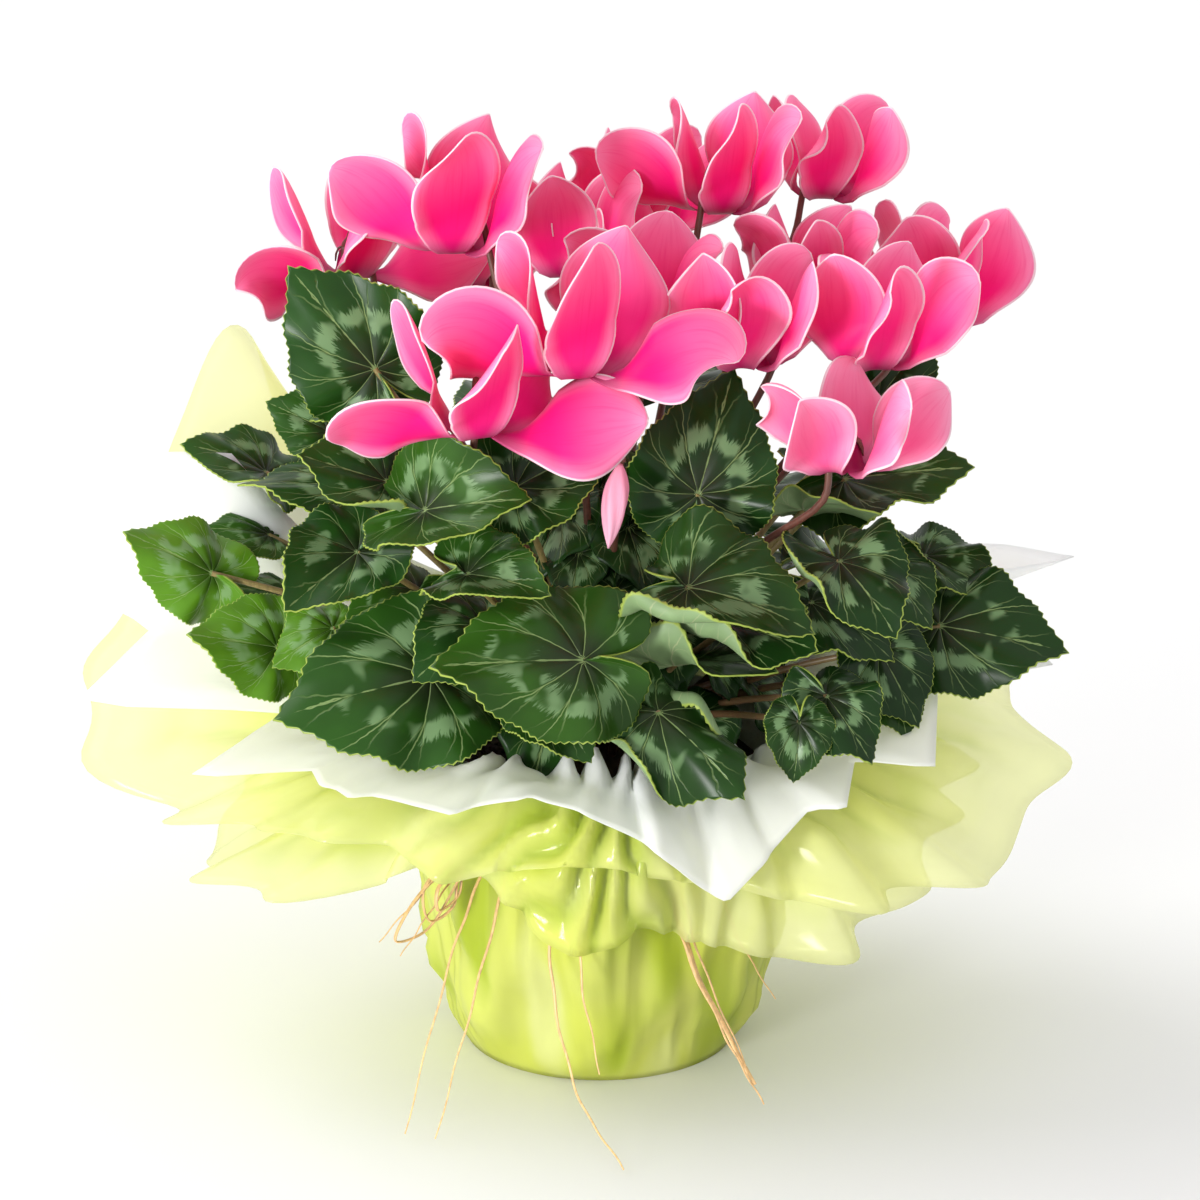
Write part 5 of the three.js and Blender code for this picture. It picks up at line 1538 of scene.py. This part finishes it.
class CYCLAMEN_OT_stems(PlantOperator, bpy.types.Operator):
    """Build the flower stems, hooked over at the top, with the calyx of each flower"""

    bl_idname = "cyclamen.stems"
    bl_label = "Flower stems"

    def execute(self, context):
        settings = context.scene.cyclamen_flowers
        look = stalk_material("Flower stem", STEM_FOOT, tuple(settings.stem), 0.13, 0.22)
        for name, (flowers, feet) in PLAN.items():
            if name.startswith("stems_"):
                paths = [stem_path(flower, foot) for flower, foot in zip(flowers, feet)]
                thick = [(path, stem_girths(path, FLOWER["calyx"])) for path in paths]
                rod = rods(name, thick, look, sides=12)
                lobes = [sepals(flower, look, name) for flower in flowers]
                finished(joined(name + "_look", [rod, *lobes]), "stem", name)
        path = bud_stem_path(PLAN["stem_bud"][1][0])
        bud_stem = rods("stem_bud", [(path, stem_girths(path, BUD["calyx"]))], look, sides=12)
        bud_stem.name = "stem_bud_look"
        finished(bud_stem, "stem", "stem_bud")
        return {"FINISHED"}


class CYCLAMEN_OT_flowers(PlantOperator, bpy.types.Operator):
    """Build the flowers and the bud"""

    bl_idname = "cyclamen.flowers"
    bl_label = "Flowers and bud"

    def execute(self, context):
        bright = petal_material("Petal", 0.0)
        pale = petal_material("Young petal", 0.45)
        for name, flower in FLOWERS.items():
            look = pale if name == "flower_15" else bright
            finished(corolla_object(name + "_look", flower, look), "petal", name)
        finished(self.bud(petal_material("Bud petal", 1.5)), "petal", "bud")
        return {"FINISHED"}

    def bud(self, material):
        """A closed spindle of furled petals that hangs from its stem."""
        rows, columns = 28, 36
        lean = math.radians(BUD["lean"])
        points, maps, rims = [], [], []
        for row in range(rows + 1):
            u = row / rows
            girth = BUD["radius"] * math.sin(math.pi * min(max(u, 0.012), 0.985) ** 0.8) ** 0.8
            for i in range(columns):
                turn = FULL_TURN * i / columns
                furl = 1 + 0.10 * math.cos(PETALS * turn - 5.5 * u) * min(1, 4 * u)
                x, y, z = girth * furl * math.cos(turn), girth * furl * math.sin(turn), -BUD["length"] * u
                leant_x = x * math.cos(lean) + z * math.sin(lean)
                points.append((leant_x, y, z * math.cos(lean) - x * math.sin(lean)))
                maps.append((0.25 + 0.75 * u, i / columns))
                rims.append(6 - 5.2 * max(0.0, math.cos(PETALS * turn - 5.5 * u + 0.7)) * u)
        points = np.array(points) + np.array(BUD["at"])
        faces = []
        for row in range(rows):
            here, below = row * columns, (row + 1) * columns
            for i in range(columns):
                ahead = (i + 1) % columns
                faces.append((here + i, below + i, below + ahead, here + ahead))
        faces.append(tuple(range(columns)))
        faces.append(tuple(rows * columns + i for i in reversed(range(columns))))
        return mesh_object(
            "bud_look", points, faces, [material], corner_maps={"petal": maps}, point_values={"rim": rims}
        )


class CYCLAMEN_OT_wrap(PlantOperator, bpy.types.Operator):
    """Build the three sheets that are gathered round the pot"""

    bl_idname = "cyclamen.wrap"
    bl_label = "Wrapping sheets"

    def execute(self, context):
        settings = context.scene.cyclamen_wrap
        film = film_material("Green film", tuple(settings.film), *FILM_SHADE_AND_LIGHT, 0.12, 0.42)
        white = film_material("White sheet", tuple(settings.white), *PAPER_SHADE_AND_LIGHT, 0.38, 0.12)
        for layer, (name, rays) in enumerate(SHEETS.items()):
            is_white = name == "sheet_white"
            look, soft = (white, SOFT_PAPER) if is_white else (film, SOFT_FILM)
            sheet = sheet_object(name + "_look", rays, layer, soft, look)
            finished(sheet, "white_sheet" if is_white else "green_film", name)
        return {"FINISHED"}


class CYCLAMEN_OT_raffia(PlantOperator, bpy.types.Operator):
    """Build the raffia that goes round the neck, its knot and its loose ends"""

    bl_idname = "cyclamen.raffia"
    bl_label = "Raffia tie"

    def execute(self, context):
        settings = context.scene.cyclamen_raffia
        straw = tuple(settings.straw)
        look = stalk_material("Raffia", straw, [0.75 * value for value in straw], 0.0, 0.12)
        half = settings.width / MM / 2
        paths = []
        for strand in range(settings.strands):
            ring = []
            for i in range(RAFFIA["points"] + 1):
                turn = FULL_TURN * i / RAFFIA["points"]
                lift = 1.2 * math.sin(3 * turn + 1.9 * strand) + 0.9 * (strand - (settings.strands - 1) / 2)
                radius = SHEET["tie"] + RAFFIA["room"] + 0.5 * math.cos(5 * turn + strand)
                ring.append((radius * math.sin(turn), -radius * math.cos(turn), SHEET["tie_height"] + lift))
            paths.append((ring, [RAFFIA["ring"] * half] * len(ring)))
        for index, points in enumerate([*RAFFIA_ENDS, *RAFFIA_FIBRES]):
            path = []
            for i, point in enumerate(smooth_path(points, 12)):
                path.append(point + 0.35 * np.array([math.sin(0.9 * i + index), math.cos(0.6 * i), 0]))
            stout = RAFFIA["stout_end" if index == STOUT_END else "end"]
            paths.append((path, np.linspace(1.0, 0.4, len(path)) * half * stout))
        for points in RAFFIA_LOOPS:
            path = smooth_path(points, 8)
            paths.append((path, [RAFFIA["loop"] * half] * len(path)))
        piece = rods("raffia_look", paths, look, sides=8, flatness=RAFFIA["flat"])
        finished(piece, "raffia", "raffia_tie")
        return {"FINISHED"}


class CYCLAMEN_OT_stage(PlantOperator, bpy.types.Operator):
    """Build the floor, the lights and the camera"""

    bl_idname = "cyclamen.stage"
    bl_label = "Stage"

    def execute(self, context):
        settings = context.scene.cyclamen_stage
        scene = context.scene
        material, nodes, output = new_material("Floor")
        values = {"Base Color": (*settings.floor, 1.0), "Roughness": 0.7}
        link_surface(nodes, output, nodes.add("ShaderNodeBsdfPrincipled", values).outputs[0])
        half = 12000
        corners = [(-half, -half, 0), (half, -half, 0), (half, half, 0), (-half, half, 0)]
        mesh_object("floor", corners, [(0, 1, 2, 3)], [material])
        world = bpy.data.worlds.new("Pale studio")
        world.use_nodes = True
        background = world.node_tree.nodes["Background"]
        background.inputs["Color"].default_value = (1.0, 1.0, 1.0, 1.0)
        background.inputs["Strength"].default_value = 1.0
        scene.world = world
        scene.view_settings.view_transform = "Standard"
        sun = bpy.data.lights.new("Window light", "SUN")
        sun.energy = SUN["energy"]
        sun.angle = math.radians(SUN["angle"])
        self.aim(sun, SUN["at"])
        front = bpy.data.lights.new("Front softbox", "AREA")
        front.size = SOFTBOX["size"]
        front.energy = SOFTBOX["energy"]
        self.aim(front, SOFTBOX["at"])
        camera = bpy.data.cameras.new("Camera")
        camera.lens = settings.lens
        camera.sensor_width = 36
        eye = bpy.data.objects.new("Camera", camera)
        target = Vector((0.0, 0.0, SEEN_HEIGHT))
        back = Vector((0.0, -math.cos(settings.elevation), math.sin(settings.elevation)))
        eye.location = target + settings.distance * back
        eye.rotation_euler = (-back).to_track_quat("-Z", "Y").to_euler()
        scene.collection.objects.link(eye)
        scene.camera = eye
        return {"FINISHED"}

    def aim(self, lamp, place):
        """Puts a lamp at a place and turns it to the middle of the plant."""
        thing = bpy.data.objects.new(lamp.name, lamp)
        thing.location = place
        way = Vector((0, 0, LIT_HEIGHT)) - Vector(place)
        thing.rotation_euler = way.to_track_quat("-Z", "Y").to_euler()
        bpy.context.scene.collection.objects.link(thing)


class CYCLAMEN_PT_panel(bpy.types.Panel):
    """The operators and their settings, in the 3D view's sidebar"""

    bl_label = "Cyclamen"
    bl_space_type = "VIEW_3D"
    bl_region_type = "UI"
    bl_category = "Cyclamen"

    def draw(self, context):
        for operator, group in STEPS:
            box = self.layout.box()
            box.operator(operator.bl_idname)
            settings = getattr(context.scene, group, None)
            if settings:
                for key in type(settings).__annotations__:
                    box.prop(settings, key)


STEPS = [
    (CYCLAMEN_OT_pot, "cyclamen_pot"),
    (CYCLAMEN_OT_leaves, "cyclamen_leaves"),
    (CYCLAMEN_OT_inner_leaves, ""),
    (CYCLAMEN_OT_stems, ""),
    (CYCLAMEN_OT_flowers, "cyclamen_flowers"),
    (CYCLAMEN_OT_wrap, "cyclamen_wrap"),
    (CYCLAMEN_OT_raffia, "cyclamen_raffia"),
    (CYCLAMEN_OT_stage, "cyclamen_stage"),
]
GROUPS = {
    "cyclamen_pot": PotSettings,
    "cyclamen_leaves": LeafSettings,
    "cyclamen_flowers": FlowerSettings,
    "cyclamen_wrap": WrapSettings,
    "cyclamen_raffia": RaffiaSettings,
    "cyclamen_stage": StageSettings,
}
CLASSES = [*GROUPS.values(), *[operator for operator, _ in STEPS], CYCLAMEN_PT_panel]


def register():
    for one in CLASSES:
        bpy.utils.register_class(one)
    for key, group in GROUPS.items():
        setattr(bpy.types.Scene, key, PointerProperty(type=group))


def unregister():
    for key in GROUPS:
        delattr(bpy.types.Scene, key)
    for one in reversed(CLASSES):
        bpy.utils.unregister_class(one)


def main():
    register()
    lay_out()
    TREES.update(rods=rod_tree(), crumbs=crumb_tree(), pleats=pleat_tree())
    for operator, _ in STEPS:
        group, name = operator.bl_idname.split(".")
        getattr(getattr(bpy.ops, group), name)()
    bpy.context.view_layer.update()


if __name__ == "__main__":
    main()
